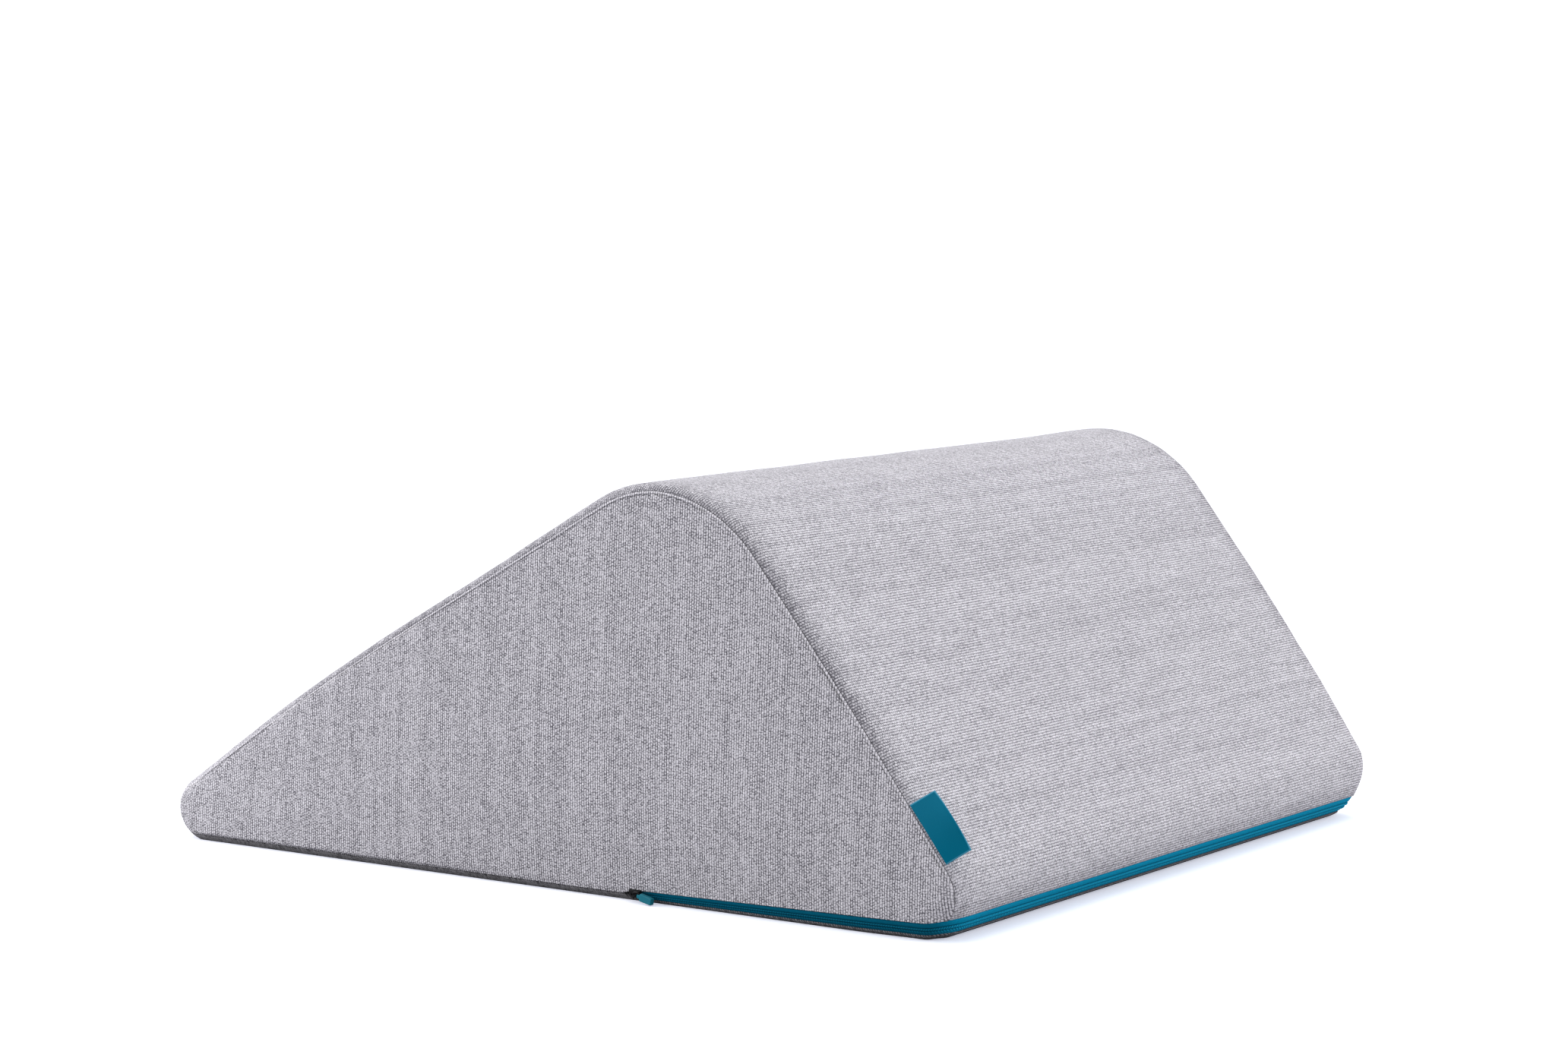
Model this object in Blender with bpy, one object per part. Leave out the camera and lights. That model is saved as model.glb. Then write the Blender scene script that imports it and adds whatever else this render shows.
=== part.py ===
"""A leg bolster: a foam wedge with a rounded ridge, in a sewn cover that opens along a zip at its foot.

The ridge runs along X. The steep front slope faces -Y, the long back slope faces +Y, and the sole is at
z = 0. The cover's outside is one smooth skin. Each sewn piece is a patch of that skin with the thickness of
its cloth. The filled body lies behind them, with the wrap panel's cloth as its own surface over the slopes.
"""

import math

import bmesh
import bpy
from mathutils import Matrix, Vector

MM = 0.001

# The wedge's section, across the ridge
DEPTH = 600 * MM
RIDGE_HEIGHT = 250.5 * MM
RIDGE_FROM_FRONT = 206.5 * MM
RIDGE_RADIUS = 95 * MM
FRONT_TOE_RADIUS = 30 * MM
BACK_TOE_RADIUS = 21.4 * MM
FRONT_CROWN = 2.1 * MM
BACK_CROWN = 4.3 * MM
BACK_CROWN_SHIFT = -1.2 * MM
FLOOR_PRESS = 1.6 * MM

# Its length, along the ridge
SOLE_LENGTH = 514 * MM
END_SPLAY = 0.038
END_CROWN = 3 * MM
FACE_CENTRE = Vector((-55 * MM, 88 * MM))
FACE_FLATTENING = 0.8

# Cloth and running gaps
CLOTH = 2.0 * MM
GAP = 0.3 * MM
UNDER_CLOTH = CLOTH + GAP
UNDER_CORNER = UNDER_CLOTH + 1.2 * MM
SEAM_ROLL = 0.9 * MM
SEAM_LIP = 0.25 * SEAM_ROLL
SEAM_GAP = 0.5 * MM

# The skin turns in from the slopes and the sole to the end faces by an elliptical rounding.
# "along" is its reach along the ridge, "inwards" its reach into the section, "seam" where the end seam lies.
# Towards the front corner, over the corner's reach, the sole's rounding takes on a share of the corner's.
ROUNDING = {
    "sole": {"along": 10.5 * MM, "inwards": 10.5 * MM, "seam": 5.5 * MM},
    "front_corner": {"along": 21 * MM, "inwards": 18 * MM, "seam": 5.3 * MM},
    "front_slope": {"along": 9.5 * MM, "inwards": 7.2 * MM, "seam": 4.2 * MM},
    "ridge_back": {"along": 9.5 * MM, "inwards": 10.3 * MM, "seam": 6.6 * MM},
    "back_slope": {"along": 9.5 * MM, "inwards": 8.0 * MM, "seam": 5.0 * MM},
    "back_corner": {"along": 11 * MM, "inwards": 15 * MM, "seam": 4.0 * MM},
}
RIDGE_TURN = 0.4
CORNER_REACH = 45 * MM
CORNER_MARGIN = 1 * MM
FRONT_SOLE_SHARE = 1 / 3

# Heights of the lines that run round the foot of the cover: at the front, at the front corner, where the zip
# ends, along the plain part of the end, and at the back
FOOT_PLACES = ("front", "corner", "zip_end", "plain", "back")
FOOT_LINES = {
    "hem": dict(zip(FOOT_PLACES, (15.2 * MM, 9.5 * MM, 6.9 * MM, 4.2 * MM, 4.6 * MM))),
    "zip_middle": dict(zip(FOOT_PLACES, (9.3 * MM, 6.1 * MM, 4.1 * MM, 4.0 * MM, 4.3 * MM))),
    "sole_rim": dict(zip(FOOT_PLACES, (5.6 * MM, 3.9 * MM, 2.2 * MM, 3.7 * MM, 4.1 * MM))),
    "floor": dict.fromkeys(FOOT_PLACES, 0),
}
ZIP_END_Y = -74 * MM
ZIP_FADE = 12 * MM

# The zip tapes: plain cloth with a raised row of stitching beside the middle
TAPE_BACK = 1.9 * MM
TAPE_SKIN = 0.75 * MM
TAPE_RIDGE = 0.2 * MM
TAPE_EDGE = 0.4 * MM
UPPER_TAPE = ((0, TAPE_SKIN), (0.45, TAPE_SKIN), (0.58, TAPE_RIDGE), (0.92, TAPE_RIDGE), (1, TAPE_EDGE))
LOWER_TAPE = ((0, TAPE_EDGE), (0.08, TAPE_RIDGE), (0.6, TAPE_RIDGE), (0.72, TAPE_SKIN), (1, TAPE_SKIN))

# The slider with its bridge, the wire link under the bridge, and the pull on the link. The pull's stations are
# (distance from its eye, width, thickness): a neck between the link's sides, and then the tab.
SLIDER_SIZE = (8.4 * MM, 5.2 * MM, 2.0 * MM)
SLIDER_EDGE = 0.6 * MM
SLIDER_Y = -74.4 * MM
SLIDER_HEIGHT = 5.7 * MM
BRIDGE_WIRE = 0.5 * MM
BRIDGE_HALF_SPAN = 2.0 * MM
BRIDGE_RISE = 2.8 * MM
LINK_WIRE = 0.4 * MM
LINK_LENGTH = 4.5 * MM
LINK_HALF_WIDTH = 2.2 * MM
LINK_BEND = 1.3 * MM
LINK_HEIGHT = 1.3 * MM
LINK_LIFT = math.radians(6)
PULL_STATIONS = (
    (-1.1 * MM, 2.2 * MM, 2.1 * MM),
    (1.0 * MM, 2.2 * MM, 2.1 * MM),
    (1.6 * MM, 4.8 * MM, 2.2 * MM),
    (11.0 * MM, 4.1 * MM, 3.2 * MM),
)
PULL_EDGE = 0.45 * MM
PULL_EYE = 0.72 * MM
PULL_DROOP = math.radians(10.5)

# The folded label, caught in the end seam on the front slope
LABEL_LENGTH = 39.4 * MM
LABEL_WIDTH = 18.2 * MM
LABEL_LAYER = 0.55 * MM
LABEL_GAP = 0.35 * MM
LABEL_MIDDLE = 0.899
LABEL_LEAN = math.radians(26)
LABEL_CLEARANCE = 1.5 * MM
LABEL_SHIFT = 0.9 * MM

# Samples round the section in each zone, and the mesh rings of an end
ZONES = (
    ("back_tuck", 3),
    ("back_toe", 8),
    ("back_slope", 9),
    ("ridge", 12),
    ("front_slope", 8),
    ("front_toe", 7),
    ("front_tuck", 6),
)
TURN_SHARES = (1.0, 0.72, 0.48, 0.28, 0.12, 0.03, 0.0)
FACE_RINGS = (0.06, 0.3, 0.55, 0.76, 0.9, 0.965)
BODY_STATIONS = (0.0, 0.12, 0.37, 0.63, 0.88, 1.0)
SIDE_STEPS = (4, 4, 4, 8)
FRONT_STEPS = 8
RIM_SHARES = (0.0, 0.2, 0.45, 0.75, 1.0)
FLAT_SHARES = (0.05, 0.5, 0.9)
STRAIGHT_SHARES = (-0.6, 0.0, 0.6)
LABEL_STATIONS = 4
BRIDGE_STEPS = 8
BEND_STEPS = 3
FOLD_ANGLES = [math.radians(angle) for angle in (-90, -54, -18, 18, 54, 90)]

COLOURS = {
    "cover_cloth": ((0.40, 0.39, 0.42), 0.95, 0.0),
    "zip_teal": ((0.0, 0.14, 0.23), 0.6, 0.0),
    "slider_black": ((0.01, 0.01, 0.012), 0.35, 0.6),
    "pull_teal": ((0.0, 0.17, 0.26), 0.45, 0.0),
    "label_teal": ((0.0, 0.15, 0.25), 0.7, 0.0),
}


def facing(angle):
    """The unit vector in the section, (y, z), at this angle from +Y."""
    return Vector((math.cos(angle), math.sin(angle)))


def slope_facing(start, start_radius, end, end_radius):
    """The way a straight slope faces that is tangent to two arcs of the section."""
    run = end - start
    lean = math.asin((start_radius - end_radius) / run.length)
    return math.atan2(run.y, run.x) + math.pi / 2 - lean


DOWN = -math.pi / 2
FRONT_TOE = Vector((-DEPTH / 2 + FRONT_TOE_RADIUS, FRONT_TOE_RADIUS - FLOOR_PRESS))
BACK_TOE = Vector((DEPTH / 2 - BACK_TOE_RADIUS, BACK_TOE_RADIUS - FLOOR_PRESS))
RIDGE = Vector((-DEPTH / 2 + RIDGE_FROM_FRONT, RIDGE_HEIGHT - RIDGE_RADIUS))
FRONT_FACING = slope_facing(FRONT_TOE, FRONT_TOE_RADIUS, RIDGE, RIDGE_RADIUS)
BACK_FACING = slope_facing(RIDGE, RIDGE_RADIUS, BACK_TOE, BACK_TOE_RADIUS)


def blend(low, high, share):
    return low + (high - low) * share


def eased(share):
    share = min(1.0, max(0.0, share))
    return share * share * (3 - 2 * share)


def mixed_rounding(first, second, share):
    return {key: blend(ROUNDING[first][key], ROUNDING[second][key], share) for key in ROUNDING[first]}


def between_lines(high, low, share):
    """The heights of a foot line that runs between two others."""
    return {key: blend(FOOT_LINES[high][key], FOOT_LINES[low][key], share) for key in FOOT_LINES[high]}


def foot_height(heights, y):
    """The height of a foot line along an end of the bolster, at y."""
    if y <= ZIP_END_Y:
        share = (y - FRONT_TOE.x) / (ZIP_END_Y - FRONT_TOE.x)
        return blend(heights["corner"], heights["zip_end"], min(1.0, max(0.0, share)))
    return blend(heights["zip_end"], heights["plain"], eased((y - ZIP_END_Y) / ZIP_FADE))


class Toe:
    """One rounded toe of the section, with the way its foot lines climb round the corner to the toe."""

    def __init__(self, centre, radius, side, corner, toe_end, sole_share):
        self.centre = centre
        self.radius = radius
        self.side = side
        self.corner = corner
        self.toe_end = toe_end
        self.sole_share = sole_share

    def direction(self, tuck):
        """Tuck is the angle from straight down, towards the toe's outside."""
        return facing(DOWN + self.side * tuck)

    def point(self, tuck, inset):
        return self.centre + self.direction(tuck) * (self.radius - inset)

    def line_inset(self, heights):
        """How far into the section a foot line lies where it meets the end's straight part."""
        return heights[self.corner] + FLOOR_PRESS

    def line_tuck(self, heights, inset):
        """The tuck angle at which a foot line has this inset, on its way round the corner."""
        share = min(1.0, inset / self.line_inset(heights))
        height = blend(heights[self.toe_end], heights[self.corner], share)
        return math.acos(min(1.0, (self.centre.y - height) / (self.radius - inset)))

    def seam_inset(self):
        return ROUNDING[self.toe_end + "_corner"]["seam"]

    def rounding(self, measure):
        """The rounding in the corner. Measure is 0 on the toe's straight part and 1 at the end's straight
        part, and from the end seam outwards the rounding is the corner's own."""
        seam = self.seam_inset() / self.line_inset(FOOT_LINES["hem"])
        share = eased((1 - measure) / (1 - seam))
        return mixed_rounding("sole", self.toe_end + "_corner", blend(self.sole_share, 1, share))


FRONT = Toe(FRONT_TOE, FRONT_TOE_RADIUS, -1, "corner", "front", FRONT_SOLE_SHARE)
BACK = Toe(BACK_TOE, BACK_TOE_RADIUS, 1, "plain", "back", 0)


def side_rounding(y):
    """The rounding along the end's straight foot, which widens towards the front corner."""
    share = eased((FRONT_TOE.x + CORNER_REACH - y) / CORNER_REACH)
    return mixed_rounding("sole", "front_corner", FRONT_SOLE_SHARE * share)


class Spot:
    """A place round the section: its zone and share of the zone give the point at any inset."""

    def __init__(self, zone, share):
        self.zone = zone
        self.share = share
        self.rounding = self.find_rounding()

    def find_rounding(self):
        if self.zone == "sole":
            return side_rounding(blend(FRONT_TOE.x, BACK_TOE.x, self.share))
        if self.zone == "front_tuck":
            return FRONT.rounding(self.edge_inset() / FRONT.line_inset(FOOT_LINES["hem"]))
        if self.zone == "back_tuck":
            return BACK.rounding(self.edge_inset() / BACK.line_inset(FOOT_LINES["hem"]))
        if self.zone == "front_toe":
            return mixed_rounding("front_slope", "front_corner", eased(self.share))
        if self.zone == "ridge":
            return mixed_rounding("ridge_back", "front_slope", eased(self.share / RIDGE_TURN))
        if self.zone == "back_slope":
            nearest = "back_corner" if self.share < 0.5 else "ridge_back"
            return mixed_rounding(nearest, "back_slope", math.sin(math.pi * self.share))
        if self.zone == "back_toe":
            return ROUNDING["back_corner"]
        return ROUNDING[self.zone]

    def section(self, inset, sunk=0.0, edge_share=0.0):
        """The (y, z) point of the skin's section here, moved in by inset and then sunk straight into the
        cover. In a tuck zone, edge_share is its share of the way from the side to the end panel's hem."""
        share = self.share
        depth = inset + sunk
        hem = FOOT_LINES["hem"]
        if self.zone == "sole":
            return Vector((blend(FRONT_TOE.x, BACK_TOE.x, share), depth - FLOOR_PRESS))
        if self.zone in ("front_tuck", "back_tuck"):
            toe = FRONT if self.zone == "front_tuck" else BACK
            near_toe = 1 - share if toe is FRONT else share
            if near_toe == 1:
                return toe.point(toe.line_tuck(hem, inset), depth)
            edge = toe.line_tuck(hem, self.edge_inset())
            return toe.point(blend(near_toe * toe.line_tuck(hem, 0), edge, edge_share), depth)
        if self.zone == "front_toe":
            top = DOWN - FRONT_FACING + 2 * math.pi
            return FRONT.point(blend(top, FRONT.line_tuck(hem, inset), share), depth)
        if self.zone == "back_toe":
            top = BACK_FACING - DOWN
            return BACK.point(blend(BACK.line_tuck(hem, inset), top, share), depth)
        if self.zone == "ridge":
            return RIDGE + facing(blend(BACK_FACING, FRONT_FACING, share)) * (RIDGE_RADIUS - depth)
        crown = math.sin(math.pi * share)
        if self.zone == "back_slope":
            out = facing(BACK_FACING)
            start, end = BACK_TOE + out * BACK_TOE_RADIUS, RIDGE + out * RIDGE_RADIUS
            swell = BACK_CROWN * crown - BACK_CROWN_SHIFT * math.sin(2 * math.pi * share)
        else:
            out = facing(FRONT_FACING)
            start, end = RIDGE + out * RIDGE_RADIUS, FRONT_TOE + out * FRONT_TOE_RADIUS
            swell = FRONT_CROWN * crown
        return blend(start, end, share) + out * (swell - depth)

    def edge_inset(self):
        """Where the end panel's edge lies here: at the end seam, or along its hem above the foot."""
        hem = FOOT_LINES["hem"]
        if self.zone == "sole":
            return foot_height(hem, blend(FRONT_TOE.x, BACK_TOE.x, self.share)) + FLOOR_PRESS
        if self.zone == "front_tuck":
            return blend(FRONT.seam_inset(), FRONT.line_inset(hem), self.share)
        if self.zone == "back_tuck":
            return blend(BACK.line_inset(hem), BACK.seam_inset(), self.share)
        return self.rounding["seam"]

    def on_wrap(self):
        return self.zone not in ("sole", "front_tuck", "back_tuck")


def turned_in(rounding, inset, depth):
    """The skin's distance from the end plane and its inset, once moved depth into the cover."""
    along, inwards = rounding["along"], rounding["inwards"]
    cosine = max(0.0, 1 - inset / inwards)
    sine = math.sqrt(1 - cosine * cosine)
    normal = Vector((inwards * sine, along * cosine)).normalized()
    return along * (1 - sine) + depth * normal.x, inset + depth * normal.y


def placed(end, away, section):
    """The point at this distance in from an end plane. End is -1 for the near end and 1 for the far one."""
    return Vector((end * (SOLE_LENGTH / 2 + END_SPLAY * section.y - away), section.x, section.y))


def lifted(point, floor):
    return Vector((point.x, point.y, max(point.z, floor)))


def skin_point(spot, end, inset, depth, edge_share=0.0):
    away, moved = turned_in(spot.rounding, inset, depth)
    return placed(end, away, spot.section(inset, moved - inset, edge_share))


def face_point(spot, end, ring, depth):
    """A point of an end face, ring being its share of the way from the face's centre to the panel's edge."""
    inset = spot.edge_inset()
    away, moved = turned_in(spot.rounding, inset, depth)
    edge = spot.section(inset, moved - inset, 1.0)
    section = FACE_CENTRE + (edge - FACE_CENTRE) * ring
    flat, _ = turned_in(spot.rounding, inset + (edge - section).length * FACE_FLATTENING, depth)
    return placed(end, flat - END_CROWN * (1 - ring * ring), section)


def side_stops():
    """The places along an end's straight foot, from the front corner to the back one."""
    marks = (FRONT_TOE.x, FRONT_TOE.x + CORNER_REACH, ZIP_END_Y, ZIP_END_Y + ZIP_FADE, BACK_TOE.x)
    stops = []
    for start, end, count in zip(marks, marks[1:], SIDE_STEPS):
        stops += [blend(start, end, i / count) for i in range(count)]
    return stops + [BACK_TOE.x]


def corner_measures(toe):
    """The places round a corner, from the end's straight foot to the toe's."""
    steps = dict(ZONES)[toe.toe_end + "_tuck"]
    seam = toe.seam_inset() / toe.line_inset(FOOT_LINES["hem"])
    return [blend(1, seam, i / steps) for i in range(steps)] + [seam * share for share in TURN_SHARES]


def spots():
    """The places round the section, foot first and then over the back slope to the front."""
    stops = side_stops()[:-1]
    found = [Spot("sole", (y - FRONT_TOE.x) / (BACK_TOE.x - FRONT_TOE.x)) for y in stops]
    for zone, count in ZONES:
        found += [Spot(zone, i / count) for i in range(count)]
        if zone in ("back_tuck", "front_toe"):
            found.append(Spot(zone, 1.0))
    return found


def new_object(name, mesh, material, collection):
    mesh.materials.append(material)
    thing = bpy.data.objects.new(name, mesh)
    collection.objects.link(thing)
    return thing


def loft(name, rings, material, collection, sharp=35):
    """A solid through rings of equal length, capped at both ends. Quads are split along their shorter
    diagonal, so that faces laid one behind the other match."""
    shape = bmesh.new()
    loops = [[shape.verts.new(point) for point in ring] for ring in rings]
    count = len(rings[0])
    for first, second in zip(loops, loops[1:]):
        for i in range(count):
            j = (i + 1) % count
            shape.faces.new((first[i], first[j], second[j], second[i]))
    shape.faces.new(loops[0])
    shape.faces.new(loops[-1])
    quads = [face for face in shape.faces if len(face.verts) == 4]
    bmesh.ops.triangulate(shape, faces=quads, quad_method="SHORT_EDGE")
    bmesh.ops.recalc_face_normals(shape, faces=shape.faces)
    mesh = bpy.data.meshes.new(name)
    shape.to_mesh(mesh)
    shape.free()
    mesh.shade_smooth()
    mesh.set_sharp_from_angle(angle=math.radians(sharp))
    return new_object(name, mesh, material, collection)


def filled_body(material, collection):
    """The foam in the wrap panel's cloth. Behind the end panels, the zip and the sole it lies under them."""
    round_section = spots()

    def under(spot):
        if spot.zone in ("front_tuck", "back_tuck"):
            return UNDER_CORNER
        return 0 if spot.on_wrap() else UNDER_CLOTH

    def ring(end, share, depth, roll=0.0):
        points = []
        for spot in round_section:
            inset = max(0.0, spot.edge_inset() * share - (roll if spot.on_wrap() else 0))
            point = skin_point(spot, end, inset, max(depth, under(spot)), share)
            points.append(lifted(point, UNDER_CLOTH))
        return points

    def end_rings(end):
        rings = [[face_point(s, end, k, UNDER_CLOTH) for s in round_section] for k in FACE_RINGS]
        rings.append(ring(end, 1.0, UNDER_CLOTH, SEAM_GAP))
        rings.append(ring(end, 1.0, SEAM_ROLL, SEAM_GAP))
        rings.append(ring(end, 1.0, SEAM_LIP, SEAM_GAP + SEAM_ROLL))
        rings += [ring(end, share, 0.0) for share in TURN_SHARES[1:-1]]
        return rings

    near, far = ring(-1, 0.0, 0.0), ring(1, 0.0, 0.0)
    middle = [[blend(a, b, share) for a, b in zip(near, far)] for share in BODY_STATIONS]
    return loft("wrap_panel", end_rings(-1) + middle + end_rings(1)[::-1], material, collection)


def end_panel(name, end, material, collection):
    """The triangular panel sewn over one end: a crowned sheet with rolled edges."""
    doubled = ("back_tuck", "front_toe")
    round_section = [spot for spot in spots() if not (spot.zone in doubled and spot.share == 1.0)]

    def edge(depth, inwards):
        points = []
        for spot in round_section:
            inset = spot.edge_inset() + inwards
            points.append(skin_point(spot, end, inset, depth, 1.0))
        return points

    outside = [[face_point(s, end, k, 0) for s in round_section] for k in FACE_RINGS]
    inside = [[face_point(s, end, k, CLOTH) for s in round_section] for k in FACE_RINGS]
    rim = [edge(SEAM_LIP, SEAM_ROLL), edge(SEAM_ROLL, 0), edge(CLOTH, 0)]
    return loft(name, outside + rim + inside[::-1], material, collection)


def foot_point(stop, heights, depth):
    """A point of the skin on a foot line, moved depth into the cover. A stop is a place round the foot: its
    kind, its end, and its measure: x on the front or back, y along an end, and 0 to 1 round a corner."""
    kind, end, measure = stop
    if kind == "side":
        inset = foot_height(heights, measure) + FLOOR_PRESS
        away, moved = turned_in(side_rounding(measure), inset, depth)
        return placed(end, away, Vector((measure, moved - FLOOR_PRESS)))
    toe = FRONT if kind.startswith("front") else BACK
    if kind in ("front", "back"):
        section = toe.point(toe.line_tuck(heights, 0), depth)
        return Vector((measure, section.x, section.y))
    inset = measure * toe.line_inset(heights)
    away, moved = turned_in(toe.rounding(measure), inset, depth)
    return placed(end, away, toe.point(toe.line_tuck(heights, inset), moved))


def corner_start(toe_name):
    """How far from the middle the straight front or back of the foot reaches, clear of the corner."""
    return SOLE_LENGTH / 2 - ROUNDING[toe_name]["along"] - CORNER_MARGIN


def zip_stops():
    """The zip's way round the foot: along half of the near end, the whole front and half of the far end."""
    reach = corner_start("front_corner")
    side = [y for y in side_stops() if y <= ZIP_END_Y][::-1]
    corner = corner_measures(FRONT)[1:]
    near = [("side", -1, y) for y in side] + [("front_corner", -1, measure) for measure in corner]
    front = [("front", 0, blend(-reach, reach, i / FRONT_STEPS)) for i in range(FRONT_STEPS + 1)]
    return near + front + [(kind, 1, measure) for kind, _, measure in near][::-1]


def foot_loop():
    """The stops all the way round the foot."""
    half = [("front_corner", -1, measure) for measure in corner_measures(FRONT)[:0:-1]]
    half += [("side", -1, y) for y in side_stops()]
    half += [("back_corner", -1, measure) for measure in corner_measures(BACK)[1:]]
    fronts = [("front", 0, -x * corner_start("front_corner")) for x in STRAIGHT_SHARES]
    backs = [("back", 0, x * corner_start("back_corner")) for x in STRAIGHT_SHARES]
    return fronts + half + backs + [(kind, 1, measure) for kind, _, measure in half][::-1]


def sole_panel(material, collection):
    """The sheet under the bolster: flat on the floor, with its rim turned up round the foot."""
    stops = foot_loop()
    rim_lines = [between_lines("floor", "sole_rim", share) for share in RIM_SHARES]
    outside = [[foot_point(stop, heights, 0) for stop in stops] for heights in rim_lines]
    inside = [[lifted(foot_point(stop, heights, CLOTH), CLOTH) for stop in stops] for heights in rim_lines]

    def flat_ring(ring, height, share):
        return [blend(Vector((0, 0, height)), Vector((p.x, p.y, height)), share) for p in ring]

    under = [flat_ring(outside[0], 0, share) for share in FLAT_SHARES]
    over = [flat_ring(inside[0], CLOTH, share) for share in FLAT_SHARES]
    return loft("base_panel", under + outside + inside[::-1] + over[::-1], material, collection)


def tape(name, high, low, section, material, collection):
    """One tape of the zip, between two foot lines. Its section is a row of (share of the width, depth)."""
    def across(stop):
        width = (foot_point(stop, FOOT_LINES[high], 0) - foot_point(stop, FOOT_LINES[low], 0)).length
        edge = GAP / width
        shares = [blend(edge, 1 - edge, share) for share, _ in section]
        outer = [(share, depth) for share, (_, depth) in zip(shares, section)]
        inner = [(share, TAPE_BACK) for share in (shares[-1], blend(edge, 1 - edge, 0.5), shares[0])]
        return [foot_point(stop, between_lines(high, low, share), depth) for share, depth in outer + inner]

    return loft(name, [across(stop) for stop in zip_stops()], material, collection, sharp=50)


def frame_at(origin, forward, up):
    """A placement with its X axis forward, its Y axis up and its Z axis out of both."""
    forward = forward.normalized()
    out = forward.cross(up).normalized()
    up = out.cross(forward)
    axes = Matrix((forward, up, out)).transposed()
    return Matrix.Translation(origin) @ axes.to_4x4()


def rounded_box(name, size, edge, placement, material, collection):
    shape = bmesh.new()
    bmesh.ops.create_cube(shape, size=1)
    bmesh.ops.scale(shape, vec=size, verts=shape.verts)
    bmesh.ops.bevel(shape, geom=shape.edges[:], offset=edge, segments=2, affect="EDGES", profile=0.5)
    mesh = bpy.data.meshes.new(name)
    shape.to_mesh(mesh)
    shape.free()
    box = new_object(name, mesh, material, collection)
    box.matrix_world = placement
    return box


def wire(name, points, radius, cyclic, placement, material, collection):
    """A round wire along these points, as a closed mesh."""
    curve = bpy.data.curves.new(name, "CURVE")
    curve.dimensions = "3D"
    curve.bevel_depth = radius
    curve.bevel_resolution = 2
    curve.use_fill_caps = True
    spline = curve.splines.new("POLY")
    spline.points.add(len(points) - 1)
    for target, point in zip(spline.points, points):
        target.co = (*point, 1)
    spline.use_cyclic_u = cyclic
    holder = bpy.data.objects.new(name + "_curve", curve)
    collection.objects.link(holder)
    bpy.context.view_layer.update()
    evaluated = holder.evaluated_get(bpy.context.evaluated_depsgraph_get())
    mesh = bpy.data.meshes.new_from_object(evaluated)
    bpy.data.objects.remove(holder, do_unlink=True)
    shape = bmesh.new()
    shape.from_mesh(mesh)
    bmesh.ops.remove_doubles(shape, verts=shape.verts, dist=1e-6)
    bmesh.ops.recalc_face_normals(shape, faces=shape.faces)
    shape.to_mesh(mesh)
    shape.free()
    mesh.name = name
    mesh.materials.clear()
    mesh.shade_smooth()
    thing = new_object(name, mesh, material, collection)
    thing.matrix_world = placement
    return thing


def combine(target, other, operation, cutters):
    """A Boolean between two objects. The other one is kept as a hidden cutter."""
    for holder in list(other.users_collection):
        holder.objects.unlink(other)
    cutters.objects.link(other)
    other.hide_render = True
    other.display_type = "WIRE"
    boolean = target.modifiers.new(operation.lower(), "BOOLEAN")
    boolean.operation = operation
    boolean.object = other


def slider_placement():
    """On the zip's face at the near end, turned with the skin there. Forward is towards the front."""
    heights = {key: SLIDER_HEIGHT for key in FOOT_LINES["hem"]}
    stop = ("side", -1, SLIDER_Y)
    face = foot_point(stop, heights, 0)
    out = (face - foot_point(stop, heights, CLOTH)).normalized()
    forward = Vector((0, -1, 0))
    up = out.cross(forward)
    centre = face + out * (GAP / 2 + SLIDER_SIZE[2] / 2)
    return frame_at(centre, forward, up)


def zip_slider(placement, material, collection, cutters):
    """The slider's body with its bridge, an arch of wire whose two feet sink into the body."""
    slider = rounded_box("zip_slider", SLIDER_SIZE, SLIDER_EDGE, placement, material, collection)
    top = SLIDER_SIZE[2] / 2
    angles = [math.pi * i / BRIDGE_STEPS for i in range(BRIDGE_STEPS + 1)]
    points = [Vector((BRIDGE_HALF_SPAN * math.cos(a), 0, top + BRIDGE_RISE * math.sin(a))) for a in angles]
    feet = [Vector((x, 0, top - BRIDGE_WIRE)) for x in (BRIDGE_HALF_SPAN, -BRIDGE_HALF_SPAN)]
    arch = feet[:1] + points + feet[1:]
    bridge = wire("slider_bridge", arch, BRIDGE_WIRE, False, placement, material, collection)
    combine(slider, bridge, "UNION", cutters)


def link_placement(slider):
    """Upright, from under the slider's bridge, forward along the zip and a little off the cover."""
    pin = slider @ Vector((0, 0, SLIDER_SIZE[2] / 2 + LINK_HEIGHT))
    forward = Vector((-math.sin(LINK_LIFT), -math.cos(LINK_LIFT), 0))
    return frame_at(pin, forward, Vector((0, 0, 1)))


def zip_link(placement, material, collection):
    """A long wire loop: one end lies under the bridge, and the pull hangs on the other."""
    far, side = LINK_LENGTH - LINK_BEND, LINK_HALF_WIDTH - LINK_BEND
    quarter = math.pi / 2
    near = LINK_BEND
    corners = ((far, side, quarter), (far, -side, 0), (near, -side, -quarter), (near, side, -2 * quarter))
    points = []
    for x, y, start in corners:
        for i in range(BEND_STEPS + 1):
            angle = start - quarter * i / BEND_STEPS
            points.append(Vector((x + LINK_BEND * math.cos(angle), y + LINK_BEND * math.sin(angle), 0)))
    wire("zip_link", points, LINK_WIRE, True, placement, material, collection)


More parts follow.
